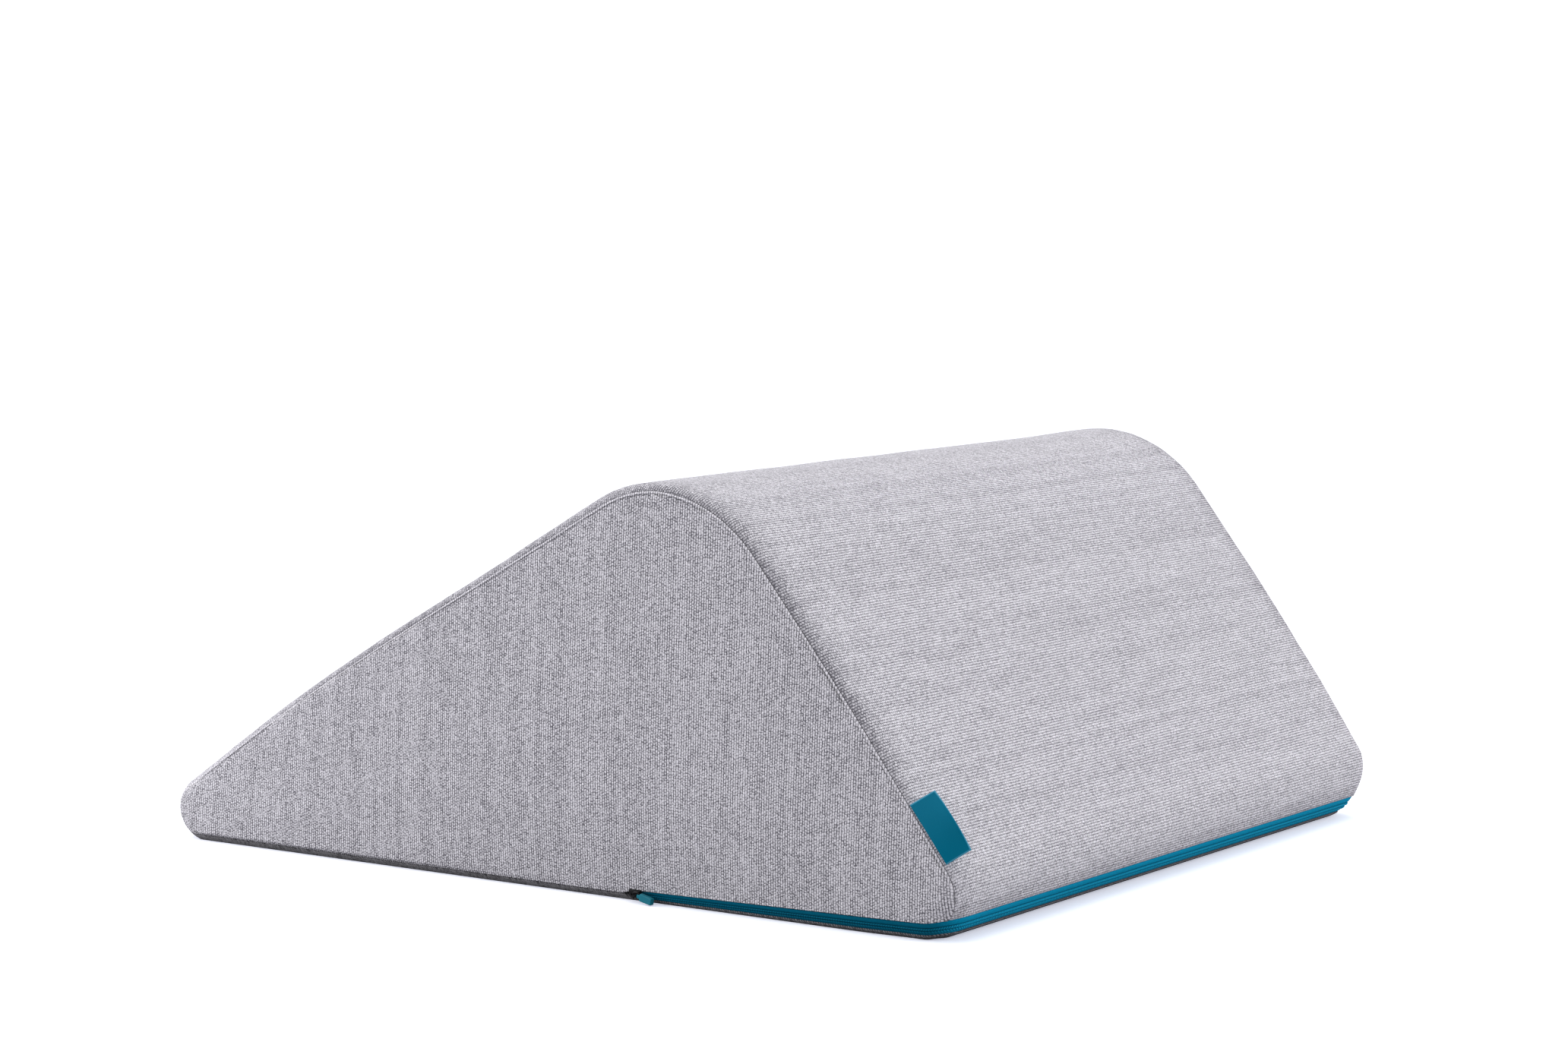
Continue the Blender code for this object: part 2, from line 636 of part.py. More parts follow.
def zip_pull(link, material, collection, cutters):
    """A moulded pull: its neck holds the link's far end in an eye, and its tab droops and thickens forward."""
    eye_placement = link @ Matrix.Translation((LINK_LENGTH, 0, 0))
    placement = eye_placement @ Matrix.Rotation(-PULL_DROOP, 4, "Z")
    shape = bmesh.new()
    rings = []
    for x, width, thickness in PULL_STATIONS:
        corners = ((-1, -1), (1, -1), (1, 1), (-1, 1))
        rings.append([shape.verts.new((x, y * width / 2, z * thickness / 2)) for y, z in corners])
    for first, second in zip(rings, rings[1:]):
        for i in range(4):
            j = (i + 1) % 4
            shape.faces.new((first[i], first[j], second[j], second[i]))
    shape.faces.new(rings[0])
    shape.faces.new(rings[-1])
    bmesh.ops.recalc_face_normals(shape, faces=shape.faces)
    bmesh.ops.bevel(shape, geom=shape.edges[:], offset=PULL_EDGE, segments=3, affect="EDGES", profile=0.5)
    mesh = bpy.data.meshes.new("zip_pull")
    shape.to_mesh(mesh)
    shape.free()
    pull = new_object("zip_pull", mesh, material, collection)
    pull.matrix_world = placement
    hole = bmesh.new()
    eye = {"radius1": PULL_EYE, "radius2": PULL_EYE, "depth": 2 * LINK_LENGTH}
    bmesh.ops.create_cone(hole, cap_ends=True, segments=12, **eye)
    bmesh.ops.rotate(hole, matrix=Matrix.Rotation(math.pi / 2, 3, "X"), verts=hole.verts)
    hole_mesh = bpy.data.meshes.new("pull_eye")
    hole.to_mesh(hole_mesh)
    hole.free()
    cutter = new_object("pull_eye", hole_mesh, material, collection)
    cutter.matrix_world = eye_placement
    combine(pull, cutter, "DIFFERENCE", cutters)


def label(material, collection):
    """A short tape folded double, both its ends caught in the near end's seam on the front slope."""
    spot = Spot("front_slope", LABEL_MIDDLE)
    inset = spot.rounding["seam"]
    seam = skin_point(spot, -1, inset, 0)
    top, bottom = (skin_point(Spot("front_slope", share), -1, inset, 0) for share in (0, 1))
    along = (bottom - top).normalized()
    slope = facing(FRONT_FACING)
    lean, rise = math.sin(LABEL_LEAN), math.cos(LABEL_LEAN)
    out = Vector((lean, slope.x * rise, slope.y * rise))
    off_wrap = along.cross(out).normalized()
    half = LABEL_GAP / 2 + LABEL_LAYER
    fold = LABEL_WIDTH - half

    def turn(radius):
        return [(radius * math.sin(a), fold + radius * math.cos(a)) for a in FOLD_ANGLES]

    low, gap = LABEL_CLEARANCE, LABEL_GAP / 2
    outline = [(-half, low)] + turn(half) + [(half, low), (gap, low)] + turn(gap)[::-1] + [(-gap, low)]
    rings = []
    for i in range(LABEL_STATIONS + 1):
        middle = seam + along * LABEL_LENGTH * (i / LABEL_STATIONS - 0.5) + off_wrap * LABEL_SHIFT
        rings.append([middle + off_wrap * across + out * up for across, up in outline])
    return loft("label", rings, material, collection, sharp=60)


def main():
    for old in list(bpy.data.objects):
        bpy.data.objects.remove(old, do_unlink=True)
    collection = bpy.data.collections.new("leg_bolster")
    bpy.context.scene.collection.children.link(collection)
    cutters = bpy.data.collections.new("cutters")
    bpy.context.scene.collection.children.link(cutters)
    materials = {}
    for name, (colour, roughness, metallic) in COLOURS.items():
        material = bpy.data.materials.new(name)
        material.use_nodes = True
        shader = material.node_tree.nodes["Principled BSDF"]
        shader.inputs["Base Color"].default_value = (*colour, 1)
        shader.inputs["Roughness"].default_value = roughness
        shader.inputs["Metallic"].default_value = metallic
        materials[name] = material
    filled_body(materials["cover_cloth"], collection)
    end_panel("end_panel_near", -1, materials["cover_cloth"], collection)
    end_panel("end_panel_far", 1, materials["cover_cloth"], collection)
    sole_panel(materials["cover_cloth"], collection)
    tape("zip_tape_upper", "hem", "zip_middle", UPPER_TAPE, materials["zip_teal"], collection)
    tape("zip_tape_lower", "zip_middle", "sole_rim", LOWER_TAPE, materials["zip_teal"], collection)
    slider = slider_placement()
    zip_slider(slider, materials["slider_black"], collection, cutters)
    link = link_placement(slider)
    zip_link(link, materials["slider_black"], collection)
    zip_pull(link, materials["pull_teal"], collection, cutters)
    label(materials["label_teal"], collection)


main()
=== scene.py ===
"""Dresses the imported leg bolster: its cloth, zip, pull and label, on a white studio floor.

The cover's outside is one smooth skin round a wedge. Each sewn piece is a patch of that skin with the
thickness of its cloth. The ridge runs along X, the steep front faces -Y and the long back slope faces +Y.
"""

import math

import bmesh
import bpy
from bpy.props import FloatProperty, FloatVectorProperty, PointerProperty
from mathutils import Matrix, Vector, noise


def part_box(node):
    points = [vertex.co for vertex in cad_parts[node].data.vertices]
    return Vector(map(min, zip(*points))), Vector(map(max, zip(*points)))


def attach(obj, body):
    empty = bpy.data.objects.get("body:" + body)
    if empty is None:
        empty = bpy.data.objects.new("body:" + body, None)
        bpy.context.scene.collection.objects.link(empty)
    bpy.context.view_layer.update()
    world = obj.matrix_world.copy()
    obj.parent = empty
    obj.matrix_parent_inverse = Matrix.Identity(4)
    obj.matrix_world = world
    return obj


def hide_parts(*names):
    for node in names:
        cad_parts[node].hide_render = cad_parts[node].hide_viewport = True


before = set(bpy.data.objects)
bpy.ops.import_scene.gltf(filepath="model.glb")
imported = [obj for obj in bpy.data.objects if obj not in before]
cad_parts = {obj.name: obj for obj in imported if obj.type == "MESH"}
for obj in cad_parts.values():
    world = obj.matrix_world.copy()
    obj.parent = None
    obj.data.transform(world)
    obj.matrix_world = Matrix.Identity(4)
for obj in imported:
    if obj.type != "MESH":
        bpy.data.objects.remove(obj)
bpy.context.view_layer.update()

bl_info = {
    "name": "Leg bolster",
    "version": (1, 0, 0),
    "blender": (4, 5, 0),
    "location": "3D View > Sidebar > Bolster",
    "description": "Models the cover, zip and label of a leg bolster and sets a white studio round it",
    "category": "Object",
}

MM = 0.001
BODY = "root"
WRAP_LOW, WRAP_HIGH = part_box("wrap_panel")

# The wedge's section, across the ridge
DEPTH = round(WRAP_HIGH.y - WRAP_LOW.y, 3)
RIDGE_HEIGHT = 250.5 * MM
RIDGE_FROM_FRONT = 206.5 * MM
RIDGE_RADIUS = 95 * MM
FRONT_TOE_RADIUS = 30 * MM
BACK_TOE_RADIUS = 21.4 * MM
FRONT_CROWN = 2.1 * MM
BACK_CROWN = 4.3 * MM
BACK_CROWN_SHIFT = -1.2 * MM
# How much of the toes' roundness is pressed flat by the floor
FLOOR_PRESS = 1.6 * MM

# Its length along the sole, and how much it grows at each end with the height
SOLE_LENGTH = 514 * MM
END_SPLAY = 0.038
# The crown of the end faces, their centre in the section, and how slowly the turn to the slopes runs out
END_CROWN = 3 * MM
FACE_CENTRE = Vector((-55 * MM, 88 * MM))
FACE_FLATTENING = 0.8

# The skin turns in from the slopes and the sole to the end faces by an elliptical rounding.
# "along" is its reach along the ridge, "inwards" its reach into the section, "seam" where the end seam lies.
ROUNDING = {
    "sole": {"along": 10.5 * MM, "inwards": 10.5 * MM, "seam": 5.5 * MM},
    "front_corner": {"along": 21 * MM, "inwards": 18 * MM, "seam": 5.3 * MM},
    "front_slope": {"along": 9.5 * MM, "inwards": 7.2 * MM, "seam": 4.2 * MM},
    "ridge_back": {"along": 9.5 * MM, "inwards": 10.3 * MM, "seam": 6.6 * MM},
    "back_slope": {"along": 9.5 * MM, "inwards": 8.0 * MM, "seam": 5.0 * MM},
    "back_corner": {"along": 11 * MM, "inwards": 15 * MM, "seam": 4.0 * MM},
}
# The share of the ridge over which its rounding changes from the back slope's to the front slope's
RIDGE_TURN = 0.4
# How far along the ends the front corners widen the rounding of the sole, and by what share of their own
CORNER_REACH = 45 * MM
FRONT_SOLE_SHARE = 1 / 3
# How far the straight front and back of the foot stay clear of the corners
CORNER_CLEARANCE = 1 * MM

# Heights of the lines that run round the foot of the cover, at places from the front to the back
FOOT_PLACES = ("front", "corner", "zip_end", "plain", "back")
FOOT_LINES = {
    "hem": dict(zip(FOOT_PLACES, (15.2 * MM, 10.5 * MM, 6.9 * MM, 4.2 * MM, 4.6 * MM))),
    "zip_middle": dict(zip(FOOT_PLACES, (7.9 * MM, 5.5 * MM, 3.4 * MM, 4.0 * MM, 4.3 * MM))),
    "sole_rim": dict(zip(FOOT_PLACES, (3.6 * MM, 2.2 * MM, 1.3 * MM, 3.7 * MM, 4.1 * MM))),
    "floor": dict.fromkeys(FOOT_PLACES, 0),
}
# Where the zip ends on both ends of the bolster, and over what length the foot's lines then close up
ZIP_END_Y = -74 * MM
ZIP_FADE = 12 * MM

# How finely the pieces are sampled round the section, round the foot and along the ridge
ZONES = (
    ("back_tuck", 6),
    ("back_toe", 16),
    ("back_slope", 72),
    ("ridge", 36),
    ("front_slope", 44),
    ("front_toe", 14),
    ("front_tuck", 12),
)
SIDE_STEPS = (8, 20, 6, 56)
FRONT_STEPS = 40
WRAP_STEPS = 96
FACE_STEPS = 44
# The end panels' rings stand closer towards the edge, the more so the further this is above 1
FACE_CROWDING = 1.25
# The wrap's rings under an end panel and the panel's on its back, as shares of the way from the face's centre
UNDER_RINGS = (0.06, 0.4, 0.8)
PANEL_BACK_RINGS = (0.98, 0.8, 0.5, 0.2)
# The base panel's flat rings, as shares of the way from its middle
BASE_RINGS = (0.05, 0.5, 0.9)
# Where the turn to the end seam is sampled, as shares of the way in to the seam
TURN_SHARES = (0.86, 0.72, 0.6, 0.48, 0.36, 0.26, 0.17, 0.1, 0.05, 0.02, 0.0)

# The rolled lip of the wrap's edge: (distance from the edge, depth below the skin)
LIP = (
    (1.1 * MM, 0.0), (0.6 * MM, 0.04 * MM), (0.3 * MM, 0.14 * MM), (0.13 * MM, 0.38 * MM),
    (0.08 * MM, 1.2 * MM),
)
# How far beyond the cloth's thickness the wrap lies under the other pieces, and where it dives below its lip
WRAP_UNDERLAP = 1.3 * MM
WRAP_DIVE = 0.2 * MM
# The cloth's waves die out over this depth of the lip
LIP_FADE = 0.5 * MM
# Painted shade beside the end seams: how much darker the wrap's yarn is made under its lip, from the lip to
# the slope, and where the slope starts
SEAM_SHADE_UNDER = 0.85
SEAM_SHADE_TURN = (0.35, 0.75)
SEAM_SHADE_SLOPE = (0.32, 0.2, 0.08)

# The end panels' folded edge, a little proud: (distance from the edge, depth, strength of the painted
# highlight on it)
FOLD = (
    (1.6 * MM, 0.0, 0.7), (1.05 * MM, -0.15 * MM, 1.3), (0.65 * MM, -0.2 * MM, 1.4),
    (0.3 * MM, -0.1 * MM, 1.0), (0.12 * MM, 0.16 * MM, 0.3), (0.07 * MM, 1.2 * MM, 0.0),
)
# The base panel's turned-up rim: (share of its height, depth, strength of the painted highlight on it)
BASE_RIM = (
    (0.0, 0, 0), (0.12, 0, 0), (0.25, 0, 0), (0.4, 0, 0), (0.6, 0, 0), (0.8, 0, 0), (0.93, 0.1 * MM, 0.3),
    (1.0, 0.5 * MM, 0.9),
)

# The heights between which something fades in, going up from the floor
WRAP_WAVES_RISE = (15 * MM, 35 * MM)
PANEL_WAVES_RISE = (12 * MM, 42 * MM)
FOLD_HIGHLIGHT_RISE = (14 * MM, 34 * MM)
SEAM_SHADE_RISE = (50 * MM, 140 * MM)

# The unevenness of the taut cloth: (size of a wave, its seed)
BROAD_WAVE = (160 * MM, 3.1)
SHORT_WAVE = (60 * MM, 8.4)
SHORT_WAVE_SHARE = 0.45
SEAM_WAVE = (14 * MM, 5.2)
SEAM_WAVE_REACH = 20 * MM

# The ribs of the end panels: how they lean, more so towards the back, and how they wander
RIB_LEAN = -0.05
RIB_LEAN_MORE = -0.075
RIB_LEAN_BACK = (50 * MM, 250 * MM)
RIB_DRIFT = 2.4 * MM
RIB_DRIFT_WAVE = (220 * MM, 4.4)

# The photo's camera, fitted to the outlines and seams: its place, and its turns round Z and down, in radians
CAMERA_PLACE = (-2.0399, -1.4147, 0.4471)
CAMERA_YAW = 0.60541
CAMERA_PITCH = 0.09888
# Its sensor's width in millimetres, and how far it sees in metres
SENSOR_WIDTH = 36
CAMERA_SEES = 100


class CoverSizes(bpy.types.PropertyGroup):
    """Sizes of the sewn cover."""

    cloth: FloatProperty(name="Cloth", description="Thickness of the cover's cloth", default=2 * MM,
                         min=1 * MM, max=4 * MM, unit="LENGTH")
    waves: FloatProperty(name="Waves", description="Height of the broad unevenness of the taut cloth",
                         default=0.9 * MM, min=0, max=3 * MM, unit="LENGTH")
    ripples: FloatProperty(name="Ripples", description="Height of the short puckers beside the seams",
                           default=0.3 * MM, min=0, max=1 * MM, unit="LENGTH")
    column: FloatProperty(name="Column", description="Width of one rib of the weave", default=1.68 * MM,
                          min=0.5 * MM, max=5 * MM, unit="LENGTH")
    stitch: FloatProperty(name="Stitch", description="Length of one loop along a rib", default=1.8 * MM,
                          min=0.5 * MM, max=6 * MM, unit="LENGTH")


class CoverColours(bpy.types.PropertyGroup):
    """Colours of the cloth, zip and label."""

    light_yarn: FloatVectorProperty(name="Light yarn", description="The pale yarn of the cloth",
                                    subtype="COLOR", size=3, min=0, max=1, default=(0.76, 0.74, 0.8))
    dark_yarn: FloatVectorProperty(name="Dark yarn", description="The grey yarn in the gaps", subtype="COLOR",
                                   size=3, min=0, max=1, default=(0.15, 0.145, 0.17))
    zip_cloth: FloatVectorProperty(name="Zip", description="The zip's tapes and coil", subtype="COLOR",
                                   size=3, min=0, max=1, default=(0.0, 0.3, 0.51))
    pull: FloatVectorProperty(name="Pull", description="The moulded pull", subtype="COLOR",
                              size=3, min=0, max=1, default=(0.0, 0.15, 0.21))
    label: FloatVectorProperty(name="Label", description="The folded label tape", subtype="COLOR",
                               size=3, min=0, max=1, default=(0.0, 0.14, 0.235))


class StudioSettings(bpy.types.PropertyGroup):
    """The camera and the studio's lights."""

    lens: FloatProperty(name="Lens", description="Focal length of the camera, in millimetres", default=87.75,
                        min=20, max=300)
    sky: FloatProperty(name="Sky", description="Strength of the even white light all round", default=0.74,
                       min=0, max=5)
    floor_bounce: FloatVectorProperty(name="Floor bounce", description="The floor's colour for bounced light",
                                      subtype="COLOR", size=3, min=0, max=1, default=(0.52, 0.52, 0.55))
    floor_glow: FloatProperty(name="Floor glow", description="How far the white floor outshines its shading",
                              default=0.47, min=0, max=5)
    front_box: FloatProperty(name="Front softbox", description="Power of the softbox before the front slope",
                             default=30, min=0, max=500, unit="POWER")
    left_box: FloatProperty(name="Left softbox", description="Power of the softbox beside the near end",
                            default=13, min=0, max=500, unit="POWER")
    top_box: FloatProperty(name="Top softbox", description="Power of the softbox overhead", default=35, min=0,
                           max=500, unit="POWER")


def blend(low, high, share):
    return low + (high - low) * share


def eased(share):
    """The share held between 0 and 1, with soft ends."""
    share = min(1.0, max(0.0, share))
    return share * share * (3 - 2 * share)


def risen(value, rise):
    """How far a value is on its way up from the first to the second value of a rise, with soft ends."""
    return eased((value - rise[0]) / (rise[1] - rise[0]))


def facing(angle):
    """The unit vector in the section, (y, z), at this angle from +Y."""
    return Vector((math.cos(angle), math.sin(angle)))


def slope_facing(start, start_radius, end, end_radius):
    """The way a straight slope faces that is tangent to two arcs of the section."""
    run = end - start
    lean = math.asin((start_radius - end_radius) / run.length)
    return math.atan2(run.y, run.x) + math.pi / 2 - lean


DOWN = -math.pi / 2
FRONT_TOE = Vector((-DEPTH / 2 + FRONT_TOE_RADIUS, FRONT_TOE_RADIUS - FLOOR_PRESS))
BACK_TOE = Vector((DEPTH / 2 - BACK_TOE_RADIUS, BACK_TOE_RADIUS - FLOOR_PRESS))
RIDGE = Vector((-DEPTH / 2 + RIDGE_FROM_FRONT, RIDGE_HEIGHT - RIDGE_RADIUS))
FRONT_FACING = slope_facing(FRONT_TOE, FRONT_TOE_RADIUS, RIDGE, RIDGE_RADIUS)
BACK_FACING = slope_facing(RIDGE, RIDGE_RADIUS, BACK_TOE, BACK_TOE_RADIUS)


def mixed_rounding(first, second, share):
    """A rounding between two others."""
    return {key: blend(ROUNDING[first][key], ROUNDING[second][key], share) for key in ROUNDING[first]}


def between_lines(high, low, share):
    """The heights of a foot line that runs between two others."""
    return {key: blend(FOOT_LINES[high][key], FOOT_LINES[low][key], share) for key in FOOT_LINES[high]}


def foot_height(heights, y):
    """The height of a foot line along an end of the bolster, at y."""
    if y <= ZIP_END_Y:
        share = (y - FRONT_TOE.x) / (ZIP_END_Y - FRONT_TOE.x)
        return blend(heights["corner"], heights["zip_end"], min(1.0, max(0.0, share)))
    return blend(heights["zip_end"], heights["plain"], eased((y - ZIP_END_Y) / ZIP_FADE))


class Toe:
    """One rounded toe of the section, with the way its foot lines climb round the corner to the toe."""

    def __init__(self, centre, radius, side, corner, toe_end, sole_share):
        self.centre = centre
        self.radius = radius
        self.side = side
        self.corner = corner
        self.toe_end = toe_end
        self.sole_share = sole_share

    def point(self, tuck, inset):
        """Tuck is the angle from straight down, towards the toe's outside."""
        return self.centre + facing(DOWN + self.side * tuck) * (self.radius - inset)

    def line_inset(self, heights):
        """How far into the section a foot line lies where it meets the end's straight part."""
        return heights[self.corner] + FLOOR_PRESS

    def line_tuck(self, heights, inset):
        """The tuck angle at which a foot line has this inset, on its way round the corner."""
        share = min(1.0, inset / self.line_inset(heights))
        height = blend(heights[self.toe_end], heights[self.corner], share)
        return math.acos(min(1.0, (self.centre.y - height) / (self.radius - inset)))

    def seam_inset(self):
        return ROUNDING[self.toe_end + "_corner"]["seam"]

    def rounding(self, measure):
        """The rounding in the corner. Measure is 0 on the toe's straight part and 1 at the end's straight
        part, and from the end seam outwards the rounding is the corner's own."""
        seam = self.seam_inset() / self.line_inset(FOOT_LINES["hem"])
        share = eased((1 - measure) / (1 - seam))
        return mixed_rounding("sole", self.toe_end + "_corner", blend(self.sole_share, 1, share))


FRONT = Toe(FRONT_TOE, FRONT_TOE_RADIUS, -1, "corner", "front", FRONT_SOLE_SHARE)
BACK = Toe(BACK_TOE, BACK_TOE_RADIUS, 1, "plain", "back", 0)


def side_rounding(y):
    """The rounding along the end's straight foot, which widens towards the front corner."""
    share = eased((FRONT_TOE.x + CORNER_REACH - y) / CORNER_REACH)
    return mixed_rounding("sole", "front_corner", FRONT_SOLE_SHARE * share)


class Spot:
    """A place round the section: its zone and share of the zone give the point at any inset."""

    def __init__(self, zone, share):
        self.zone = zone
        self.share = share
        self.rounding = self.find_rounding()

    def find_rounding(self):
        if self.zone == "sole":
            return side_rounding(blend(FRONT_TOE.x, BACK_TOE.x, self.share))
        if self.zone == "front_tuck":
            return FRONT.rounding(self.edge_inset() / FRONT.line_inset(FOOT_LINES["hem"]))
        if self.zone == "back_tuck":
            return BACK.rounding(self.edge_inset() / BACK.line_inset(FOOT_LINES["hem"]))
        if self.zone == "front_toe":
            return mixed_rounding("front_slope", "front_corner", eased(self.share))
        if self.zone == "ridge":
            return mixed_rounding("ridge_back", "front_slope", eased(self.share / RIDGE_TURN))
        if self.zone == "back_slope":
            nearest = "back_corner" if self.share < 0.5 else "ridge_back"
            return mixed_rounding(nearest, "back_slope", math.sin(math.pi * self.share))
        if self.zone == "back_toe":
            return ROUNDING["back_corner"]
        return ROUNDING[self.zone]

    def section(self, inset, sunk=0.0, edge_share=0.0):
        """The (y, z) point of the skin's section here, moved in by inset and then sunk straight into the
        cover. In a tuck zone, edge_share is its share of the way from the side to the end panel's hem."""
        share = self.share
        depth = inset + sunk
        hem = FOOT_LINES["hem"]
        if self.zone == "sole":
            return Vector((blend(FRONT_TOE.x, BACK_TOE.x, share), depth - FLOOR_PRESS))
        if self.zone in ("front_tuck", "back_tuck"):
            toe = FRONT if self.zone == "front_tuck" else BACK
            near_toe = 1 - share if toe is FRONT else share
            if near_toe == 1:
                return toe.point(toe.line_tuck(hem, inset), depth)
            edge = toe.line_tuck(hem, self.edge_inset())
            return toe.point(blend(near_toe * toe.line_tuck(hem, 0), edge, edge_share), depth)
        if self.zone == "front_toe":
            top = DOWN - FRONT_FACING + 2 * math.pi
            return FRONT.point(blend(top, FRONT.line_tuck(hem, inset), share), depth)
        if self.zone == "back_toe":
            top = BACK_FACING - DOWN
            return BACK.point(blend(BACK.line_tuck(hem, inset), top, share), depth)
        if self.zone == "ridge":
            return RIDGE + facing(blend(BACK_FACING, FRONT_FACING, share)) * (RIDGE_RADIUS - depth)
        crown = math.sin(math.pi * share)
        if self.zone == "back_slope":
            out = facing(BACK_FACING)
            start, end = BACK_TOE + out * BACK_TOE_RADIUS, RIDGE + out * RIDGE_RADIUS
            swell = BACK_CROWN * crown - BACK_CROWN_SHIFT * math.sin(2 * math.pi * share)
        else:
            out = facing(FRONT_FACING)
            start, end = RIDGE + out * RIDGE_RADIUS, FRONT_TOE + out * FRONT_TOE_RADIUS
            swell = FRONT_CROWN * crown
        return blend(start, end, share) + out * (swell - depth)

    def edge_inset(self):
        """Where the end panel's edge lies here: at the end seam, or along its hem above the foot."""
        hem = FOOT_LINES["hem"]
        if self.zone == "sole":
            return foot_height(hem, blend(FRONT_TOE.x, BACK_TOE.x, self.share)) + FLOOR_PRESS
        if self.zone == "front_tuck":
            return blend(FRONT.seam_inset(), FRONT.line_inset(hem), self.share)
        if self.zone == "back_tuck":
            return blend(BACK.line_inset(hem), BACK.seam_inset(), self.share)
        return self.rounding["seam"]

    def on_wrap(self):
        return self.zone not in ("sole", "front_tuck", "back_tuck")


def turned_in(rounding, inset, depth):
    """The skin's distance from the end plane and its inset, once moved depth into the cover."""
    along, inwards = rounding["along"], rounding["inwards"]
    cosine = max(0.0, 1 - inset / inwards)
    sine = math.sqrt(1 - cosine * cosine)
    normal = Vector((inwards * sine, along * cosine)).normalized()
    return along * (1 - sine) + depth * normal.x, inset + depth * normal.y


def placed(end, away, section):
    """The point at this distance in from an end plane. End is -1 for the near end and 1 for the far one."""
    return Vector((end * (SOLE_LENGTH / 2 + END_SPLAY * section.y - away), section.x, section.y))


def lifted(point, floor):
    """The point, or the one right above it at the floor where it lies lower."""
    return Vector((point.x, point.y, max(point.z, floor)))


def skin_point(spot, end, inset, depth, edge_share=0.0):
    away, moved = turned_in(spot.rounding, inset, depth)
    return placed(end, away, spot.section(inset, moved - inset, edge_share))


def face_point(spot, end, ring, depth):
    """A point of an end face, ring being its share of the way from the face's centre to the panel's edge."""
    inset = spot.edge_inset()
    away, moved = turned_in(spot.rounding, inset, depth)
    edge = spot.section(inset, moved - inset, 1.0)
    section = FACE_CENTRE + (edge - FACE_CENTRE) * ring
    flat, _ = turned_in(spot.rounding, inset + (edge - section).length * FACE_FLATTENING, depth)
    return placed(end, flat - END_CROWN * (1 - ring * ring), section)


def side_stops():
    """The places along an end's straight foot, from the front corner to the back one."""
    marks = (FRONT_TOE.x, FRONT_TOE.x + CORNER_REACH, ZIP_END_Y, ZIP_END_Y + ZIP_FADE, BACK_TOE.x)
    stops = []
    for start, end, count in zip(marks, marks[1:], SIDE_STEPS):
        stops += [blend(start, end, i / count) for i in range(count)]
    return stops + [BACK_TOE.x]


def corner_measures(toe):
    """The places round a corner, from the end's straight foot to the toe's."""
    steps = dict(ZONES)[toe.toe_end + "_tuck"]
    seam = toe.seam_inset() / toe.line_inset(FOOT_LINES["hem"])
    return [blend(1, seam, i / steps) for i in range(steps + 1)] + [seam * share for share in TURN_SHARES]


def section_spots():
    """The places round the section, foot first and then over the back slope to the front."""
    stops = side_stops()[:-1]
    found = [Spot("sole", (y - FRONT_TOE.x) / (BACK_TOE.x - FRONT_TOE.x)) for y in stops]
    for zone, count in ZONES:
        found += [Spot(zone, i / count) for i in range(count)]
        if zone in ("back_tuck", "front_toe"):
            found.append(Spot(zone, 1.0))
    return found


def foot_point(stop, heights, depth):
    """A point of the skin on a foot line, moved depth into the cover. A stop is a place round the foot: its
    kind, its end, and its measure: x on the front or back, y along an end, and 0 to 1 round a corner."""
    kind, end, measure = stop
    if kind == "side":
        inset = foot_height(heights, measure) + FLOOR_PRESS
        away, moved = turned_in(side_rounding(measure), inset, depth)
        return placed(end, away, Vector((measure, moved - FLOOR_PRESS)))
    toe = FRONT if kind.startswith("front") else BACK
    if kind in ("front", "back"):
        section = toe.point(toe.line_tuck(heights, 0), depth)
        return Vector((measure, section.x, section.y))
    inset = measure * toe.line_inset(heights)
    away, moved = turned_in(toe.rounding(measure), inset, depth)
    return placed(end, away, toe.point(toe.line_tuck(heights, inset), moved))


def wave(point, size, seed):
    """A smooth value from -1 to 1 that changes over the given size."""
    return noise.noise(point / size + Vector((seed, seed * 1.7, seed * 0.6)))


def cloth_waves(point):
    """How far the taut cloth stands off its even shape."""
    height = bpy.context.scene.bolster_sizes.waves
    return height * (wave(point, *BROAD_WAVE) + SHORT_WAVE_SHARE * wave(point, *SHORT_WAVE))


def seam_ripples(point, from_seam):
    """Short puckers across a seam, which die out away from it."""
    height = bpy.context.scene.bolster_sizes.ripples
    return height * wave(point, *SEAM_WAVE) * math.exp(-from_seam / SEAM_WAVE_REACH)


def make_grid(name, rings, marks):
    """A mesh through closed rings of equal length, capped at both ends, with the cloth's own coordinates, in
    metres, from the marks. A ring's marks go round to its first point again, so they are one longer."""
    shape = bmesh.new()
    layer = shape.loops.layers.uv.new("cloth")
    loops = [[shape.verts.new(point) for point in ring] for ring in rings]
    count = len(rings[0])
    for row in range(len(loops) - 1):
        for i in range(count):
            j = (i + 1) % count
            corners = ((row, i, i), (row, j, i + 1), (row + 1, j, i + 1), (row + 1, i, i))
            face = shape.faces.new([loops[r][v] for r, v, _ in corners])
            face.smooth = True
            for loop, (r, _, m) in zip(face.loops, corners):
                loop[layer].uv = marks[r][m]
    for ring, mark in ((loops[0], marks[0]), (loops[-1], marks[-1])):
        face = shape.faces.new(ring)
        for loop, place in zip(face.loops, mark):
            loop[layer].uv = place
    bmesh.ops.recalc_face_normals(shape, faces=shape.faces)
    mesh = bpy.data.meshes.new(name)
    shape.to_mesh(mesh)
    shape.free()
    piece = bpy.data.objects.new(name, mesh)
    bpy.context.scene.collection.objects.link(piece)
    return piece


def round_marks(rings, mark):
    """The marks of closed rings, where a point's mark follows from its place."""
    return [[mark(point) for point in ring + ring[:1]] for ring in rings]


def mark_points(piece, key, values):
    """Gives each point of a piece a value that its material reads."""
    attribute = piece.data.attributes.new(key, "FLOAT", "POINT")
    attribute.data.foreach_set("value", values)


def finish_piece(piece, material, node):
    """Gives a piece its material and its slot, and puts it in the place of its CAD node."""
    piece.data.materials.append(material)
    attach(piece, BODY)
    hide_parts(node)


